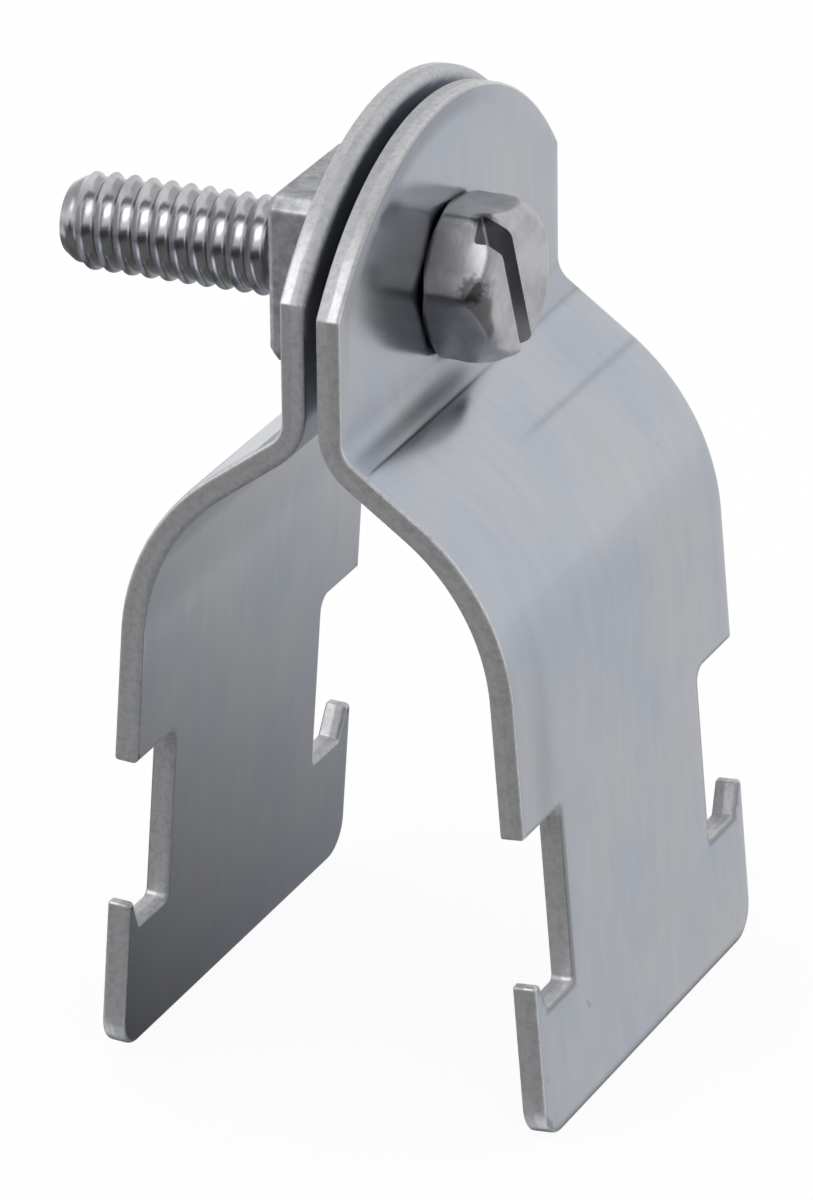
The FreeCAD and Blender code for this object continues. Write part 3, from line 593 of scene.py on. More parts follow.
@dataclass
class StrapHalf:
    """One stamped strap half, as a flat blank carried along the bent section.

    The blank's coordinates are s, down the strip from the screw hole, and y across it. The
    section gives, for each s, a point on the inner face and a point on the outer face.
    """

    side: Side
    finish: Material
    thick: float = 1.55
    width: float = 33.3
    gap: float = 1.0
    hole_radius: float = 3.57
    side_rise: float = 3.15
    crown_rise: float = 11.6
    bend_radius: float = 1.6
    back_radius: float = 4.2
    bend_drop: float = 4.515
    slope: float = 36.0
    pipe_radius: float = 13.35
    pipe_inset: float = 2.3
    splay: float = 4.2
    leg_run: float = 8.7
    notch_height: float = 9.66
    neck_width: float = 22.0
    tooth_height: float = 1.95
    tooth_tip: float = 0.7
    tooth_root: float = 1.7
    top_corner: float = 0.9
    floor_corner: float = 0.4
    tab_height: float = 10.4
    tab_radius: float = 2.3
    bend_length: float = 3.0
    shoulder_length: float = 5.0
    corner: float = 0.24
    roll_width: float = 0.2
    roll_depth: float = 0.26
    mesh_step: float = 0.42
    fine_step: float = 0.08
    crease_run: float = 0.83
    crease_slant: float = -0.0094
    crease_depth: float = 0.035
    dent_depth: float = 0.02
    drawn_depth: float = 0.05
    stations: dict[str, float] = field(default_factory=dict)

    def section(self) -> tuple[Array, Array, Array]:
        """The strip's section: ear, bend, shoulder, saddle and leg.

        Each stretch is a straight run or an arc by angle, and both faces share its s.

        Returns:
            Station s, points on the inner face and points on the outer face, local to the hole.
        """
        tilt, lean = math.radians(self.slope), math.radians(self.splay)
        across = np.array([math.sin(tilt), math.cos(tilt)])
        hollow_radius = self.bend_radius + self.thick
        drop = self.bend_drop + (hollow_radius * (1 - across[0]) - self.pipe_inset * across[0]
                                 + self.pipe_radius) / across[1]
        centre = np.array([-self.pipe_inset, -drop])
        shoulder = centre + across * self.pipe_radius

        def bend_height(radius: float) -> float:
            """Height of the centre of an arc that touches the ear and the shoulder inside."""
            return (radius - (radius - shoulder[0]) * across[0] + shoulder[1] * across[1]) / across[1]

        hollow = np.array([hollow_radius, bend_height(hollow_radius)])
        back = np.array([self.back_radius, bend_height(self.back_radius)])
        turn = np.linspace(0, math.pi / 2 - tilt, 25)
        spoke = -np.stack([np.cos(turn), np.sin(turn)], -1)
        fan = np.linspace(math.pi / 2 - tilt, lean, 61)
        ray = np.stack([np.cos(fan), np.sin(fan)], -1)
        leg = self.leg_run + self.notch_height + self.tab_height
        down = np.array([math.sin(lean), -math.cos(lean)])
        foot_in = centre + ray[-1] * self.pipe_radius + down * leg
        foot_out = foot_in + ray[-1] * self.thick
        ear_end = -back[1]
        fan_length = (self.pipe_radius + self.thick / 2) * (fan[0] - fan[-1])
        ear_s = np.array([-self.crown_rise, ear_end - 0.5])
        bend_s = ear_end + self.bend_length * turn / turn[-1]
        saddle_s = bend_s[-1] + self.shoulder_length + fan_length * np.linspace(0, 1, len(fan))
        s = np.concatenate([ear_s, bend_s, saddle_s, [saddle_s[-1] + leg]])
        ear = np.stack([np.zeros(2), -ear_s], -1)
        inner = np.concatenate([ear, back + spoke * self.back_radius,
                                centre + ray * self.pipe_radius, foot_in[None]])
        outer = np.concatenate([ear + [self.thick, 0], hollow + spoke * self.bend_radius,
                                centre + ray * (self.pipe_radius + self.thick), foot_out[None]])
        self.stations = {"bend": float(bend_s[0]), "shoulder": float(bend_s[-1]),
                         "saddle": float(saddle_s[0]), "leg": float(saddle_s[-1])}
        return s, inner, outer

    def blank(self) -> Array:
        """Outline of the flat blank: ear arc, sides, notches with their teeth, and tab.

        The ear is an arc through both sides and the crown, R = (w^2 + h^2) / 2h for half
        width w and rise h.

        Returns:
            Points (s, y), counter-clockwise.
        """
        half = self.width / 2
        rise = self.crown_rise - self.side_rise
        radius = (half * half + rise * rise) / (2 * rise)
        sweep = math.asin(half / radius)
        angles = np.linspace(-sweep, sweep, 75)[1:-1]
        arc = [(radius - self.crown_rise - radius * math.cos(a), radius * math.sin(a), 0.0)
               for a in angles.tolist()]
        top = self.stations["leg"] + self.leg_run
        tip = top + self.notch_height
        floor = tip + self.tooth_height
        end = tip + self.tab_height
        neck = self.neck_width / 2
        tight = self.corner
        edge = [(-self.side_rise, half, 0.3), (top, half, tight), (top, neck, self.top_corner),
                (floor, neck, self.floor_corner), (floor, half - self.tooth_root, 0.2),
                (tip, half - self.tooth_tip, 0.22), (tip, half, 0.22), (end, half, self.tab_radius)]
        mirrored = [(s, -y, r) for s, y, r in reversed(edge)]
        ring = rounded_outline(arc + edge + mirrored, self.mesh_step)
        area = np.sum(ring[:, 0] * np.roll(ring[:, 1], -1) - np.roll(ring[:, 0], -1) * ring[:, 1])
        return ring if area > 0 else ring[::-1]

    def place(self, s: Array, y: Array, depth: Array) -> Array:
        """Carry blank points into the part's frame.

        The point at depth t is inner(s) + t (outer(s) - inner(s)), then the half is moved to
        its ear's face and, on the left, turned half a turn about the vertical.

        Args:
            s: place down the strip.
            y: place across it.
            depth: 0 on the inner face, 1 on the outer.

        Returns:
            Points in millimetres.
        """
        table, inner, outer = self.section_table
        low = np.stack([np.interp(s, table, inner[:, k]) for k in (0, 1)], -1)
        high = np.stack([np.interp(s, table, outer[:, k]) for k in (0, 1)], -1)
        at = low + (high - low) * depth[:, None]
        sign = 1 if self.side is Side.RIGHT else -1
        back, rise = PLAY[self.side]
        x = sign * (at[:, 0] + self.gap / 2)
        return np.stack([x, sign * y + back, at[:, 1] + SCREW_HEIGHT + rise], -1)

    def wall_steps(self, worn: float) -> Array:
        """Steps over the cut edge from inner to outer face: offset from the outline, depth.

        A quarter round at the burr side, a straight wall, and an elliptical roll-over with
        offset w (cos a - 1) and depth 1 - d + d sin a on the side the punch came from.

        Args:
            worn: radius of the quarter round.

        Returns:
            Offset and depth, one row to a step.
        """
        turn = np.linspace(0, math.pi / 2, 5)
        burr = np.stack([worn * (np.sin(turn) - 1), worn * (1 - np.cos(turn)) / self.thick], -1)
        roll = np.stack([self.roll_width * (np.cos(turn) - 1),
                         1 + self.roll_depth * (np.sin(turn) - 1) / self.thick], -1)
        middle = np.array([[0.0, 0.5], [0.0, 0.6]])
        return np.concatenate([burr, middle, roll])

    def crease(self, s: Array, y: Array) -> Array:
        """Distance down the strip from the pressed line, at shoulder + crease_run + crease_slant y."""
        return s - (self.stations["shoulder"] + self.crease_run + self.crease_slant * y)

    def wedge(self, s: Array, y: Array) -> Array:
        """Shallow dent below the pressed line: it widens from the front towards the middle, where
        it ends, and falls off as (1 - a / w)^1.5 with the distance a and the width w.

        Args:
            s: place down the strip.
            y: place across it.

        Returns:
            Share of the dent's full depth, 0 to 1.
        """
        across = self.crease(s, y)
        width = 0.2 + 1.1 * smoothstep(y, -16.0, -1.0)
        fall = np.clip(1 - across / width, 0, 1) ** 1.5 * (across > 0)
        return fall * smoothstep(y, -16.0, -6.0) * (1 - smoothstep(y, -1.5, 2.5))

    def sag(self, s: Array, y: Array, margin: Array) -> Array:
        """How deep the outer face lies below flat: the margin drawn down by the punch and, on the
        right, a ramp that sinks to the pressed line, a steep step up behind it and the dent.

        Args:
            s: place down the strip.
            y: place across it.
            margin: distance from the nearest edge.

        Returns:
            Depths in millimetres.
        """
        drawn = self.drawn_depth * np.exp(-(margin / 0.6) ** 2)
        if self.side is Side.LEFT:
            return drawn
        across = self.crease(s, y)
        ramp = np.where(across <= 0.01, np.clip(1 + across / 0.4, 0, 1), np.exp(-(across / 0.12) ** 2))
        fades = smoothstep(y, -16.0, -11.0) * (1 - smoothstep(y, -2.0, 5.0))
        return drawn + self.crease_depth * ramp * fades + self.dent_depth * self.wedge(s, y)

    def paint_shade_and_wear(self, s: Array, y: Array, depth: Array, margin: Array) -> Array:
        """Darker colour on the outer face. Painted shade: the notches' outer lip and, on the right, the
        pressed line, its dent, the ear's margin and the ring under the head, where the head's contact
        shadow falls. Also on the right: a fainter dark line where the saddle begins and a worn streak
        beside the front edge.

        The lip is one plain tone, and the dent has its own form. The others are bells
        exp(-(d / w)^2) and smooth steps of the distance d from their place, and where they
        overlap the darkest counts.

        Args:
            s: place down the strip.
            y: place across it.
            depth: 0 on the inner face, 1 on the outer.
            margin: distance from the nearest edge.

        Returns:
            Share of the painted shade and wear colour, 0 to 1.
        """
        # Painted shade on the notches' outer lip
        notch = (s > self.stations["leg"] + self.leg_run - 0.6) & (np.abs(y) < self.width / 2 - 0.25)
        lip = 0.6 * (notch & (margin == 0) & (depth > 0.94))
        if self.side is Side.LEFT:
            return lip
        thin = 0.06 + 0.07 * smoothstep(y, -15.0, -6.0)
        line = np.exp(-((self.crease(s, y) - 0.06) / thin) ** 2) * (1 - 0.8 * smoothstep(y, -2.5, 3.0))
        second = np.exp(-((s - self.stations["saddle"] - 0.35) / 0.24) ** 2) * smoothstep(y, -3.0, 2.0)
        rubbed_and_painted_light = (np.exp(-((y + 13.0) / 1.6) ** 2) * smoothstep(s, 19.0, 28.0)
                  * (1 - smoothstep(s, 36.0, 46.0)))
        ear_margin = ((1 - smoothstep(margin, 0.8, 1.7)) * (1 - smoothstep(y, 0.0, 9.0))
                      * (1 - smoothstep(s, -self.side_rise - 1, 3.0)))
        ring = 1 - smoothstep(np.hypot(s - PLAY[self.side][1], y), 4.6, 5.3)
        # Painted shade from the pressed line, its dent, the ear's margin and the ring, which is the
        # head's painted contact shadow; the streak beside the front edge is wear
        dark = np.maximum.reduce([0.97 * line, 0.55 * self.wedge(s, y), 0.24 * second,
                                  0.24 * rubbed_and_painted_light, 0.38 * ear_margin, 0.85 * ring])
        return np.maximum(dark * (depth > 0.9) * smoothstep(y, -16.6, -15.2), lip)

    def on_ear(self, points: Array) -> Array:
        """Share of the ear in blank points, 1 on it and 0 on the body below."""
        return 1 - smoothstep(points[:, 0], -self.side_rise - 1.5, -self.side_rise + 1.5)

    def free_points(self, ring: Array, clear: float) -> Array:
        """Grid of points for the blank's faces, with its rows closer together at the pressed line
        and where the saddle begins, and more room to the rim on an ear with a wide round.

        Args:
            ring: outline of the blank.
            clear: distance that the points keep from the rims.

        Returns:
            Points (s, y), one row each.
        """
        rows = np.arange(-self.crown_rise, self.stations["leg"] + 40, self.mesh_step)
        shoulder, saddle = self.stations["shoulder"], self.stations["saddle"]
        for start, end in ((shoulder, shoulder + 2.2), (saddle, saddle + 0.7)):
            coarse = rows[(rows < start) | (rows > end)]
            rows = np.concatenate([coarse, np.arange(start, end, self.fine_step)])
        columns = np.linspace(-self.width / 2, self.width / 2, 61)
        points = np.stack([axis.ravel() for axis in np.meshgrid(rows, columns, indexing="ij")], -1)
        points = points[inside(points, ring) & (np.linalg.norm(points, axis=1) > self.hole_radius)]
        worn, ear_worn = WEAR[self.side]
        rim = distance_to(points, ring) - (ear_worn - worn) * self.on_ear(points)
        return points[np.minimum(rim, distance_to(points, self.hole())) > clear]

    def hole(self) -> Array:
        """Outline of the screw hole on the blank, clockwise."""
        turn = np.linspace(0, 2 * math.pi, 73)[:-1]
        return self.hole_radius * np.stack([np.cos(turn), -np.sin(turn)], -1)

    def build(self) -> Object:
        """Mesh the half: both faces as a triangulated blank, joined by the cut edge's rings, with
        the attributes and the map that its finish reads.

        Returns:
            The closed strap half.
        """
        self.section_table = self.section()
        ring, hole = self.blank(), self.hole()
        normals = [outline_normals(ring), outline_normals(hole)]
        points = self.free_points(ring, self.roll_width + 0.16)
        rims = [loop - side * self.roll_width for loop, side in zip((ring, hole), normals)]
        flat = np.concatenate([*rims, points])
        n0, n1 = len(ring), len(hole)
        first, second = np.arange(n0), n0 + np.arange(n1)
        edges = np.concatenate([np.stack([loop, np.roll(loop, -1)], -1) for loop in (first, second)])
        found = delaunay_2d_cdt([Vector(p) for p in flat.tolist()], edges.tolist(), [], 1, 1e-6)
        original = np.array([ids[0] for ids in found[3]])
        faces = original[np.array(found[2])]
        middle = flat[faces].mean(1)
        faces = faces[np.linalg.norm(middle, axis=1) > self.hole_radius + self.roll_width]

        # Layers of vertices: the cut edge's steps round both outlines, then both faces
        outline, both = np.concatenate([ring, hole]), np.concatenate(normals)
        count = len(outline)
        on_ear = self.on_ear(outline)
        on_ear[n0:] = 0
        steps, ear_steps = (self.wall_steps(worn) for worn in WEAR[self.side])
        layers = []
        for (offset, level), (ear_offset, ear_level) in zip(steps, ear_steps):
            layers.append((outline + both * (offset + (ear_offset - offset) * on_ear)[:, None],
                           level + (ear_level - level) * on_ear,
                           np.full(count, float(0.0 < level < 1.0)), np.zeros(count)))
        margin = np.minimum(distance_to(points, ring), distance_to(points, hole))
        for level in (0.0, 1.0):
            layers.append((points, np.full(len(points), level), np.zeros(len(points)), margin))
        spots, depths, cut_faces_and_painted_light, margins = (np.concatenate(part) for part in zip(*layers))
        s, y = spots.T
        # Painted light: on the left half, the inner face's band along the rim gets most of the cut
        # edge's lighter, rougher finish, so that the dark gap between the ears looks lit
        if self.side is Side.LEFT:
            rubbed_and_painted_light = (depths < 0.5) * (1 - smoothstep(margins, 0.1, 1.0)) * (s < -1)
            cut_faces_and_painted_light = np.maximum(cut_faces_and_painted_light, 0.85 * rubbed_and_painted_light)
        last, total = (len(steps) - 1) * count, len(steps) * count
        free = np.arange(len(points))
        inner_map = np.concatenate([np.arange(count), total + free])
        outer_map = np.concatenate([last + np.arange(count), total + len(points) + free])
        walls = []
        for start, size in ((0, n0), (n0, n1)):
            quads = grid_faces(len(steps), size)
            walls.append(quads // size * count + start + quads % size)
        quads = np.concatenate(walls)
        triangles = np.concatenate([quads[:, [0, 1, 2]], quads[:, [0, 2, 3]], inner_map[faces],
                                    outer_map[faces[:, ::-1]]])

        sag = self.sag(s, y, margins) / self.thick
        placed = self.place(s, y, depths - sag * smoothstep(depths, 0.5, 0.95))
        piece = make_object(self.side.value + "_strap", placed, triangles.tolist(), self.finish)
        bend, shoulder = self.stations["bend"], self.stations["shoulder"] + self.crease_run
        below = smoothstep(s, bend - 0.5, bend + 1)
        bent = np.maximum(below * (1 - smoothstep(s, shoulder, shoulder + 0.6)),
                          (depths < 0.5) * (1 - below))
        shade_and_wear = self.paint_shade_and_wear(s, y, depths, margins)
        for name, values in (("depth", depths), ("cut", cut_faces_and_painted_light), ("shade_and_wear", shade_and_wear), ("bent", bent)):
            layer = piece.data.attributes.new(name, "FLOAT", "POINT")
            layer.data.foreach_set("value", values.astype(np.float32))
        blank = piece.data.uv_layers.new(name="blank")
        corners = np.empty(len(piece.data.loops), int)
        piece.data.loops.foreach_get("vertex_index", corners)
        blank.data.foreach_set("uv", (spots[corners] * MM).ravel().astype(np.float32))
        weld(piece, 0.0005)
        return piece


@dataclass
class Thread:
    """A rolled screw thread: narrow rounded crests and wide valleys with a flat middle."""

    crest: float = 3.11
    pitch: float = 1.27
    depth: float = 0.37
    crest_flat: float = 0.03
    phase: float = 0.30
    softness: float = 0.022
    hollow: float = 3.2
    rows_per_pitch: int = 14

    def radius(self, x: Array, angle: Array) -> Array:
        """Radius of the thread's surface.

        With u from 0 at the crest of a right-hand helix to 1 in mid-valley, the radius is
        crest - depth (1 - (1 - u)^hollow), with the crest rounded off.

        Args:
            x: place along the screw.
            angle: angle about X from +Y towards +Z.

        Returns:
            Radii in millimetres.
        """
        turns = x / self.pitch - angle / (2 * math.pi) - self.phase
        away = np.abs(turns - np.round(turns)) * self.pitch - self.crest_flat / 2
        soft = self.softness
        away = soft * np.logaddexp(0, away / soft)
        part = np.clip(away / (self.pitch / 2 - self.crest_flat / 2), 0, 1)
        return self.crest - self.depth * (1 - (1 - part) ** self.hollow)

    def rows(self, low: float, high: float, angles: Array) -> Array:
        """Rows of X that follow the helix, one of them on its crest, held between two ends.

        Args:
            low: lowest X.
            high: highest X.
            angles: the columns' angles.

        Returns:
            X for each row and column.
        """
        step = self.pitch / self.rows_per_pitch
        start = self.pitch * self.phase
        first, last = math.floor((low - self.pitch - start) / step), math.ceil((high - start) / step)
        base = start + step * np.arange(first, last + 1)
        x = base[:, None] + self.pitch * angles[None] / (2 * math.pi)
        return np.clip(x, low, high)


@dataclass
class HexScrew:
    """Slotted hexagon-head machine screw: rolled thread, tapered tip, chamfered head."""

    finish: Material
    thread: Thread
    bearing: float = 2.05
    length: float = 25.4
    plain: float = 3.2
    taper: float = 1.3
    tip_radius: float = 2.3
    flats: float = 9.53
    height: float = 4.65
    neck_radius: float = 2.6
    base_radius: float = 4.75
    base_slope: float = 38.0
    top_radius: float = 4.35
    top_slope: float = 57.0
    turn: float = 25.0
    slot_width: float = 1.63
    slot_depth: float = 1.8
    slot_turn: float = 21.0
    slot_shift: float = 1.08
    slot_corner: float = 0.25
    slot_bevel: float = 0.08
    seat_gap: float = 0.004
    side_round: float = 1.16
    uneven: float = 0.12
    edge_radii: tuple[float, ...] = (0.12, 0.2, 0.25, 0.5)
    columns: int = 168

    def head_radius(self, angles: Array) -> Array:
        """Radius of the head's side: a hexagon with rounded corners.

        On a flat it is a / cos t. Past the flat's end it is where the ray meets the corner's
        circle of radius q, centred at c = (a - q) / cos 30: c cos d + sqrt(q^2 - c^2 sin^2 d),
        with d the angle from the corner.

        Args:
            angles: the columns' angles.

        Returns:
            Radii in millimetres.
        """
        apothem, round_off, half = self.flats / 2, self.side_round, math.radians(30)
        local = (angles - math.radians(self.turn) + half) % (2 * half) - half
        centre = (apothem - round_off) / math.cos(half)
        flat_end = math.atan((apothem - round_off) * math.tan(half) / apothem)
        from_corner = half - np.abs(local)
        reach = np.sqrt(np.maximum(round_off ** 2 - (centre * np.sin(from_corner)) ** 2, 0))
        return np.where(np.abs(local) < flat_end, apothem / np.cos(local),
                        centre * np.cos(from_corner) + reach)

    def head_rings(self, angles: Array) -> tuple[Array, Array]:
        """Rings of the head from the shank over the bearing face, sides and free end.

        Every angle has the section (0, neck), (0, base), (chamfer), (chamfer), (height, top),
        (height, 0), with each corner c rounded by the curve (1-t)^2 a + 2t(1-t) c + t^2 b.

        Args:
            angles: the columns' angles.

        Returns:
            X and radius, one row to a ring.
        """
        side = self.head_radius(angles)
        base_run = (side - self.base_radius) * math.tan(math.radians(self.base_slope))
        top_run = (side - self.top_radius) * math.tan(math.radians(self.top_slope))
        section = ((self.seat_gap, self.neck_radius), (self.seat_gap, self.base_radius),
                   (np.maximum(base_run, 0.02), side), (self.height - top_run, side),
                   (self.height, self.top_radius), (self.height, 0.0))
        corners = np.stack([np.stack(np.broadcast_arrays(x, r, side)[:2]) for x, r in section])
        rows = [corners[0]]
        for k in range(1, 5):
            before, here, after = corners[k - 1], corners[k], corners[k + 1]
            to, away = here - before, after - here
            reach = np.minimum(self.edge_radii[k - 1], 0.45 * np.minimum(np.hypot(*to), np.hypot(*away)))
            start = here - to / np.hypot(*to) * reach
            end = here + away / np.hypot(*away) * reach
            for part in np.linspace(0, 1, 6):
                rows.append((1 - part) ** 2 * start + 2 * part * (1 - part) * here + part ** 2 * end)
            if k == 2:
                rows.extend([end + (corners[3] - end) * part for part in (0.3, 0.6)])
        for part in (0.35, 0.7, 0.97, 1.0):
            rows.append(corners[4] * (1 - part) + corners[5] * part)
        stack = np.stack(rows)
        return stack[:, 0] + self.bearing, stack[:, 1]

    def forged(self, x: Array, radius: Array, angles: Array) -> Array:
        """Give the struck head its unevenness: its radius sinks by up to uneven, following slow
        sines of x, y and z, but not at the bearing face and the middle.

        Args:
            x: place of each point along the screw.
            radius: its distance from the axis.
            angles: the columns' angles.

        Returns:
            The uneven radii.
        """
        y, z = radius * np.cos(angles), radius * np.sin(angles)
        wave = (np.sin(2.1 * x + 1.7 * y + 0.6) * np.sin(1.9 * z - 1.1 * x + 2.0)
                + 0.6 * np.sin(3.7 * y - 2.3 * z + 1.3 * x) + 0.4 * np.sin(4.9 * z + 3.1 * x + 1.0))
        share = smoothstep(x, self.bearing + 0.2, self.bearing + 1.0) * smoothstep(radius, 2.5, 4.2)
        return radius - self.uneven * (0.5 + 0.25 * wave) * share

    def build(self) -> Object:
        """Mesh the screw as one grid of rings, then cut the driver slot.

        Returns:
            The closed screw.
        """
        angles = np.arange(self.columns) * 2 * math.pi / self.columns
        tip = self.bearing - self.length
        x = self.thread.rows(tip, self.bearing, angles)
        radius = self.thread.radius(x, angles[None])
        runout = smoothstep(x, self.bearing - self.plain - 0.3, self.bearing - self.plain + 0.3)
        radius = radius + (self.thread.crest - radius) * runout
        cone = self.tip_radius + (x - tip) * (self.thread.crest - self.tip_radius) / self.taper
        # The thread blends into the tip's cone, and two small rings close the end
        soft = 0.06
        radius = -soft * np.logaddexp(-radius / soft, -np.minimum(cone, 9) / soft)
        cap_x = np.broadcast_to([[tip + 0.06], [tip]], (2, self.columns))
        cap_r = np.stack([np.zeros(self.columns), radius[0] - 0.1])
        head_x, head_r = self.head_rings(angles)
        all_x = np.concatenate([cap_x, x, head_x])
        all_r = np.concatenate([cap_r, radius, self.forged(head_x, head_r, angles)])
        screw = turned("threaded_screw", all_x, all_r, angles, self.finish)
        self.cut_slot(screw)
        return screw

    def cut_slot(self, screw: Object) -> None:
        """Cut the driver slot with a long bar whose bottom corners are rounded, and round its edges.

        Args:
            screw: the screw to cut.
        """
        half = self.slot_width / 2
        deep = self.height - self.slot_depth + self.bearing
        # The bar runs past the head at both ends and above
        reach, out = 8.0, deep + 4
        ring = rounded_outline([(deep, -half, self.slot_corner), (deep, half, self.slot_corner),
                                (out, half, 0.0), (out, -half, 0.0)], 2.0)
        lean = math.radians(self.slot_turn)
        along = np.array([0, -math.sin(lean), math.cos(lean)])
        across = np.array([0, math.cos(lean), math.sin(lean)])
        middle = np.array([0, -self.slot_shift, SCREW_HEIGHT])
        points = np.concatenate([middle + ring[:, :1] * [1, 0, 0] + ring[:, 1:] * across + along * far
                                 for far in (-reach, reach)])
        ends = np.arange(len(points)).reshape(2, -1).tolist()
        bar = make_object("slot_bar", points, grid_faces(2, len(ring)).tolist() + ends, self.finish)
        weld(bar, 0.001)
        cutter = screw.modifiers.new("slot", "BOOLEAN")
        cutter.operation = "DIFFERENCE"
        cutter.solver = "EXACT"
        cutter.object = bar
        bpy.context.view_layer.update()
        cut = bpy.data.meshes.new_from_object(screw.evaluated_get(bpy.context.evaluated_depsgraph_get()))
        screw.modifiers.clear()
        old, screw.data = screw.data, cut
        bpy.data.meshes.remove(old)
        bpy.data.objects.remove(bar)
        shape = bmesh.new()
        shape.from_mesh(cut)
        slot_edges = [edge for edge in shape.edges if edge.calc_face_angle(0) > math.radians(40)
                      and min(vertex.co.x for vertex in edge.verts) > (deep - 0.05) * MM]
        bmesh.ops.bevel(shape, geom=slot_edges, offset=self.slot_bevel * MM, segments=2, profile=0.5,
                        affect="EDGES", clamp_overlap=True)
        shape.to_mesh(cut)
        shape.free()
        weld(screw, 0.001)
        cut.set_sharp_from_angle(angle=math.radians(38))


@dataclass
class SquareNut:
    """Square nut with bevelled corners and a threaded bore that matches the screw."""

    finish: Material
    thread: Thread
    bearing: float = -2.15
    flats: float = 10.9
    thick: float = 5.75
    corner: float = 0.8
    face_bevel: float = 0.8
    outer_bevel: float = 0.42
    bore_bevel: float = 0.4
    clearance: float = 0.06

    def outline(self, angles: Array, inset: float) -> Array:
        """Radius of the square with cut corners: the smooth minimum of a / cos to each of
        four sides and four corner planes.

        Args:
            angles: the columns' angles.
            inset: how far all sides move in.

        Returns:
            Radii in millimetres.
        """
        quarter = math.pi / 2
        side = (angles + quarter / 2) % quarter - quarter / 2
        diagonal = angles % quarter - quarter / 2
        flat = (self.flats / 2 - inset) / np.cos(side)
        cut = (self.flats / math.sqrt(2) - self.corner / math.sqrt(2) - inset) / np.cos(diagonal)
        soft = 0.035
        return -soft * np.logaddexp(-flat / soft, -cut / soft)

    def build(self) -> Object:
        """Mesh the nut as one grid: outer rings, then back through the threaded bore. Its columns
        stand closer together at the corners.

        Returns:
            The closed nut.
        """
        quarter = np.radians(np.concatenate([np.linspace(-45, -30, 16)[:-1], np.linspace(-30, 30, 13),
                                             np.linspace(30, 45, 16)[1:-1]]))
        angles = np.concatenate([quarter + k * math.pi / 2 for k in range(4)])
        columns = len(angles)
        end = -self.thick
        # The outline closes well inside the bore, and its points there are left off
        deep = 3.0
        path = rounded_outline([(0, self.face_bevel, 0.12), (-self.face_bevel, 0, 0.15),
                                (end + self.outer_bevel, 0, 0.15), (end, self.outer_bevel, 0.12),
                                (end, deep, 0), (0, deep, 0)], 20.0)
        order = [p for p in path.tolist() if p[1] < deep - 0.1]
        mouth = self.thread.crest + self.clearance + self.bore_bevel
        far = self.bearing + end
        rows_x = [np.full(columns, self.bearing + x) for x, _ in order] + [np.full(columns, far)]
        rows_r = [self.outline(angles, inset) for _, inset in order] + [np.full(columns, mouth)]
        x = self.thread.rows(far, self.bearing, angles)
        radius = self.thread.radius(x, angles[None]) + self.clearance
        cone = mouth - np.minimum(x - far, self.bearing - x)
        radius = np.maximum(radius, cone)
        all_x = np.concatenate([np.stack(rows_x), x[1:-1]])
        all_r = np.concatenate([np.stack(rows_r), radius[1:-1]])
        nut = turned("threaded_nut", all_x, all_r, angles, self.finish, close_rows=True)
        nut.data.set_sharp_from_angle(angle=math.radians(50))
        return nut


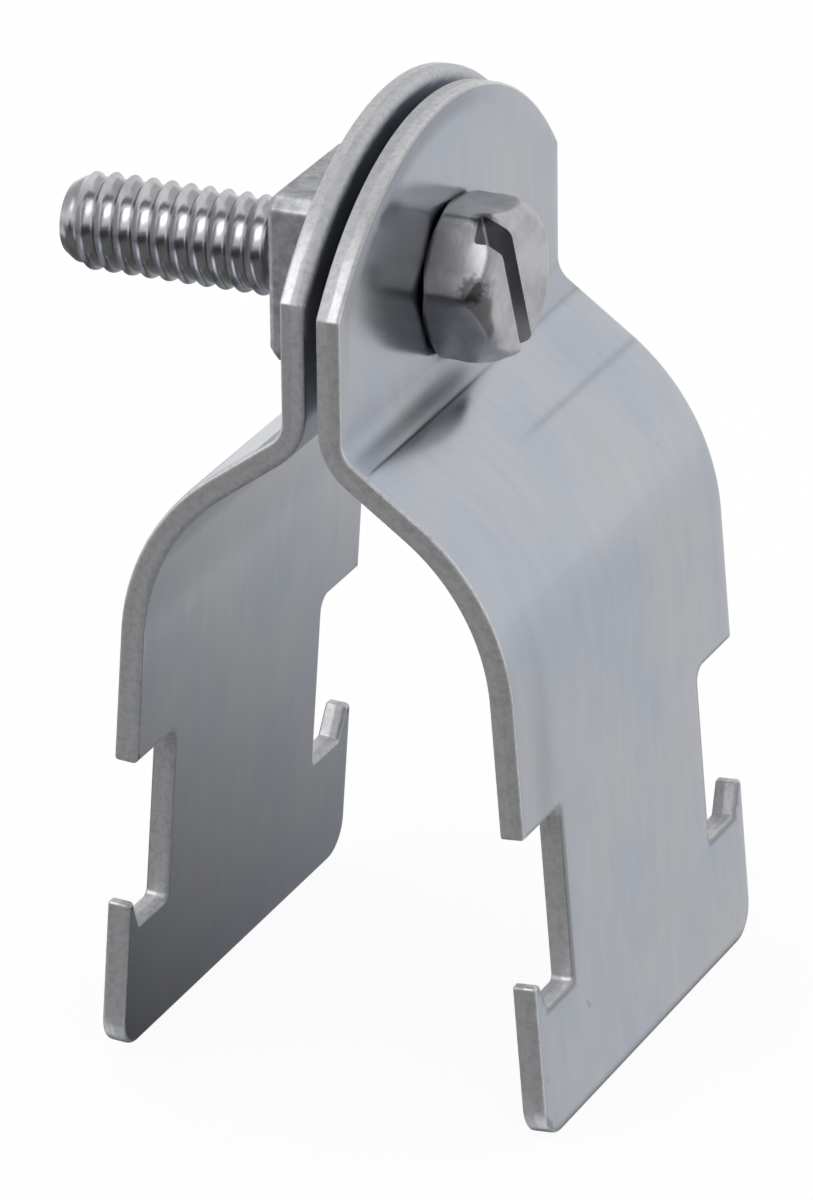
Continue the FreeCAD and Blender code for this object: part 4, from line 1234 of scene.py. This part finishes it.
@dataclass
class Studio:
    """Pale floor, soft daylight-like room and the camera at the photograph's angle."""

    azimuth: float = 24.1258
    elevation: float = 23.3334
    roll: float = -0.71638
    focal_px: float = 9145.92
    image_height: float = 1200.0
    shift_right: float = 0.92058
    shift_up: float = 20.17134
    distance: float = 556.0956
    sensor: float = 36.0
    tent_strength: float = 1.1
    floor_grey: str = "#E4E5E6"
    floor_glow: float = 0.93
    floor_reach: float = 900.0
    lamp_at: tuple[float, float, float] = (-190, -240, 300)
    lamp_aim: tuple[float, float, float] = (0, 0, 15)
    lamp_size: tuple[float, float] = (300, 200)
    lamp_power: float = 0.32

    def camera(self) -> None:
        """Place the scene's camera from its angles, distance and offsets in the picture plane."""
        a, e, r = (math.radians(v) for v in (self.azimuth, self.elevation, self.roll))
        back = np.array([math.sin(a) * math.cos(e), -math.cos(a) * math.cos(e), math.sin(e)])
        right = np.array([math.cos(a), math.sin(a), 0.0])
        up = np.cross(back, right)
        right, up = math.cos(r) * right + math.sin(r) * up, math.cos(r) * up - math.sin(r) * right
        place = back * self.distance - right * self.shift_right - up * self.shift_up
        place = (place + [0, 0, SCREW_HEIGHT]) * MM
        data = bpy.data.cameras.new("photo_camera")
        data.sensor_fit = "VERTICAL"
        data.sensor_height = self.sensor
        data.lens = self.focal_px / self.image_height * self.sensor
        data.clip_start = 0.01
        data.clip_end = 20
        camera = bpy.data.objects.new("photo_camera", data)
        aimed = Matrix(np.stack([right, up, back], -1).tolist()).to_4x4()
        camera.matrix_world = Matrix.Translation(Vector(place)) @ aimed
        bpy.context.scene.collection.objects.link(camera)
        bpy.context.scene.camera = camera

    def sky(self) -> None:
        """A white tent: plain white to the camera and in the metal, and soft light, a tenth
        stronger, on what scatters it."""
        world = bpy.data.worlds.new("white_tent")
        bpy.context.scene.world = world
        world.use_nodes = True
        tent = Nodes(world.node_tree)
        tent.feed("Background", {"Color": WHITE})
        soft = tent.add("ShaderNodeBackground", {"Color": WHITE, "Strength": self.tent_strength})[0]
        ray = tent.add("ShaderNodeLightPath")
        direct = tent.add("ShaderNodeMath", {0: ray["Is Camera Ray"], 1: ray["Is Glossy Ray"]},
                          operation="MAXIMUM")[0]
        clear = tent.add("ShaderNodeMath", {0: direct, 1: ray["Is Transmission Ray"]},
                         operation="MAXIMUM")[0]
        shown = tent.tree.nodes["Background"].outputs[0]
        mixed = tent.add("ShaderNodeMixShader", {0: clear, 1: soft, 2: shown})[0]
        tent.feed("World Output", {"Surface": mixed})

    def floor(self, level: float) -> None:
        """A pale floor under the clamp that keeps a faint shadow.

        Args:
            level: height of the floor in millimetres.
        """
        skin = Skin("pale_floor")
        skin.feed("Principled BSDF", {"Base Color": self.floor_grey, "Roughness": 0.9})
        matt = skin.tree.nodes["Principled BSDF"].outputs[0]
        glow = skin.add("ShaderNodeEmission", {"Color": WHITE, "Strength": 1.0})[0]
        ray = skin.add("ShaderNodeLightPath")["Is Camera Ray"]
        share = skin.add("ShaderNodeMath", {0: ray, 1: self.floor_glow}, operation="MULTIPLY")[0]
        material = skin.show(skin.add("ShaderNodeMixShader", {0: share, 1: matt, 2: glow})[0])
        out = self.floor_reach
        plane("studio_floor", (-out, -out, level), (2 * out, 0, 0), (0, 2 * out, 0), material)

    def cards(self, level: float) -> None:
        """Pale to black cards round the tent. Only reflections show them: the metal's dark front,
        the black line below the front light, its greyer top and the pale faces to the right.

        Args:
            level: height of the floor in millimetres.
        """
        low, far = level + 0.5, 420.0
        # A corner, two sides, and the brightness at the corner and towards the back
        for name, corner, along, across, near, away in (
            ("front_floor_card", (-far, -18, low), (2 * far, 0, 0), (0, -122, 0), 0.17, 0.17),
            ("far_floor_card", (-far, -140, low), (2 * far, 0, 0), (0, 140 - far, 0), 0.03, 0.03),
            ("front_horizon_card", (-far, -far, low), (2 * far, 0, 0), (0, 0, 118), 0.01, 0.01),
            ("ceiling_card", (-far, -120, far), (2 * far, 0, 0), (0, 160, 0), 0.12, 0.12),
            ("back_left_card", (-far, -50, 60), (far - 50, 450, 0), (0, 0, 500), 0.6, 0.6),
            # Painted shadow: the card between the halves is dark near the clamp and paler towards the
            # back, the clamp's own soft shadow on the floor as the metal sees it
            ("between_shadow_card", (-30, -16, low), (45, 0, 0), (0, 116, 0), 0.1, 0.72),
            ("left_floor_card", (-120, -18, low), (90, 0, 0), (0, 112, 0), 0.1, 0.25),
            ("right_floor_card", (15, -18, low), (far - 15, 0, 0), (0, far, 0), 0.78, 0.91),
            ("right_card", (far, -far, low), (0, 560, 0), (0, 0, 330), 0.95, 0.95),
            ("front_right_card", (80, -far, 118), (far - 80, 0, 0), (0, 120, 420), 0.36, 0.36),
        ):
            skin = Skin(name)
            place = skin.add("ShaderNodeTexCoord")["Object"]
            back = skin.add("ShaderNodeSeparateXYZ", {0: place})["Y"]
            first, last = corner[1], corner[1] + 0.8 * across[1] + 0.01
            tone = skin.add("ShaderNodeMapRange", {"Value": back, "From Min": first * MM,
                                                   "From Max": last * MM, "To Min": near,
                                                   "To Max": away})[0]
            material = skin.show(skin.add("ShaderNodeEmission", {"Color": WHITE, "Strength": tone})[0])
            card = plane(name, corner, along, across, material)
            card.visible_camera = False
            card.visible_diffuse = False
            card.visible_shadow = False
            card.visible_transmission = False

    def lamps(self) -> None:
        """One soft box high in front of the clamp, for the bright bands on edges and thread."""
        data = bpy.data.lights.new("front_softbox", "AREA")
        data.shape = "RECTANGLE"
        data.size, data.size_y = (side * MM for side in self.lamp_size)
        data.energy = self.lamp_power
        lamp = bpy.data.objects.new("front_softbox", data)
        lamp.location = Vector(self.lamp_at) * MM
        aim = Vector(self.lamp_aim) * MM - lamp.location
        lamp.rotation_euler = aim.to_track_quat("-Z", "Y").to_euler()
        bpy.context.scene.collection.objects.link(lamp)


def main() -> None:
    """Load the frame, build each piece in order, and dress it."""
    logging.basicConfig(level=logging.INFO, format="%(name)s: %(message)s")
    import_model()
    cad_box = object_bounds()
    bpy.context.scene.view_settings.view_transform = "Standard"
    studio = Studio()
    studio.camera()
    strip, bright, dull = (finish.material() for finish in (ZincStrap(), BrightZinc(), DullZinc()))
    thread = Thread()
    for design, body, node, slot in (
        (StrapHalf(Side.LEFT, strip), "left", "left_half", "strap"),
        (StrapHalf(Side.RIGHT, strip), "right", "right_half", "strap"),
        (HexScrew(bright, thread), "screw", "hex_screw", "screw"),
        (SquareNut(dull, thread), "left", "square_nut", "nut"),
    ):
        piece = design.build()
        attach(piece, body)
        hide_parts(node)
        LOG.info("%s placed", piece.name)
    level = min(corner[2] for corner in cad_box) / MM - FLOOR_GAP
    studio.floor(level)
    studio.cards(level)
    studio.sky()
    studio.lamps()


if __name__ == "__main__":
    main()
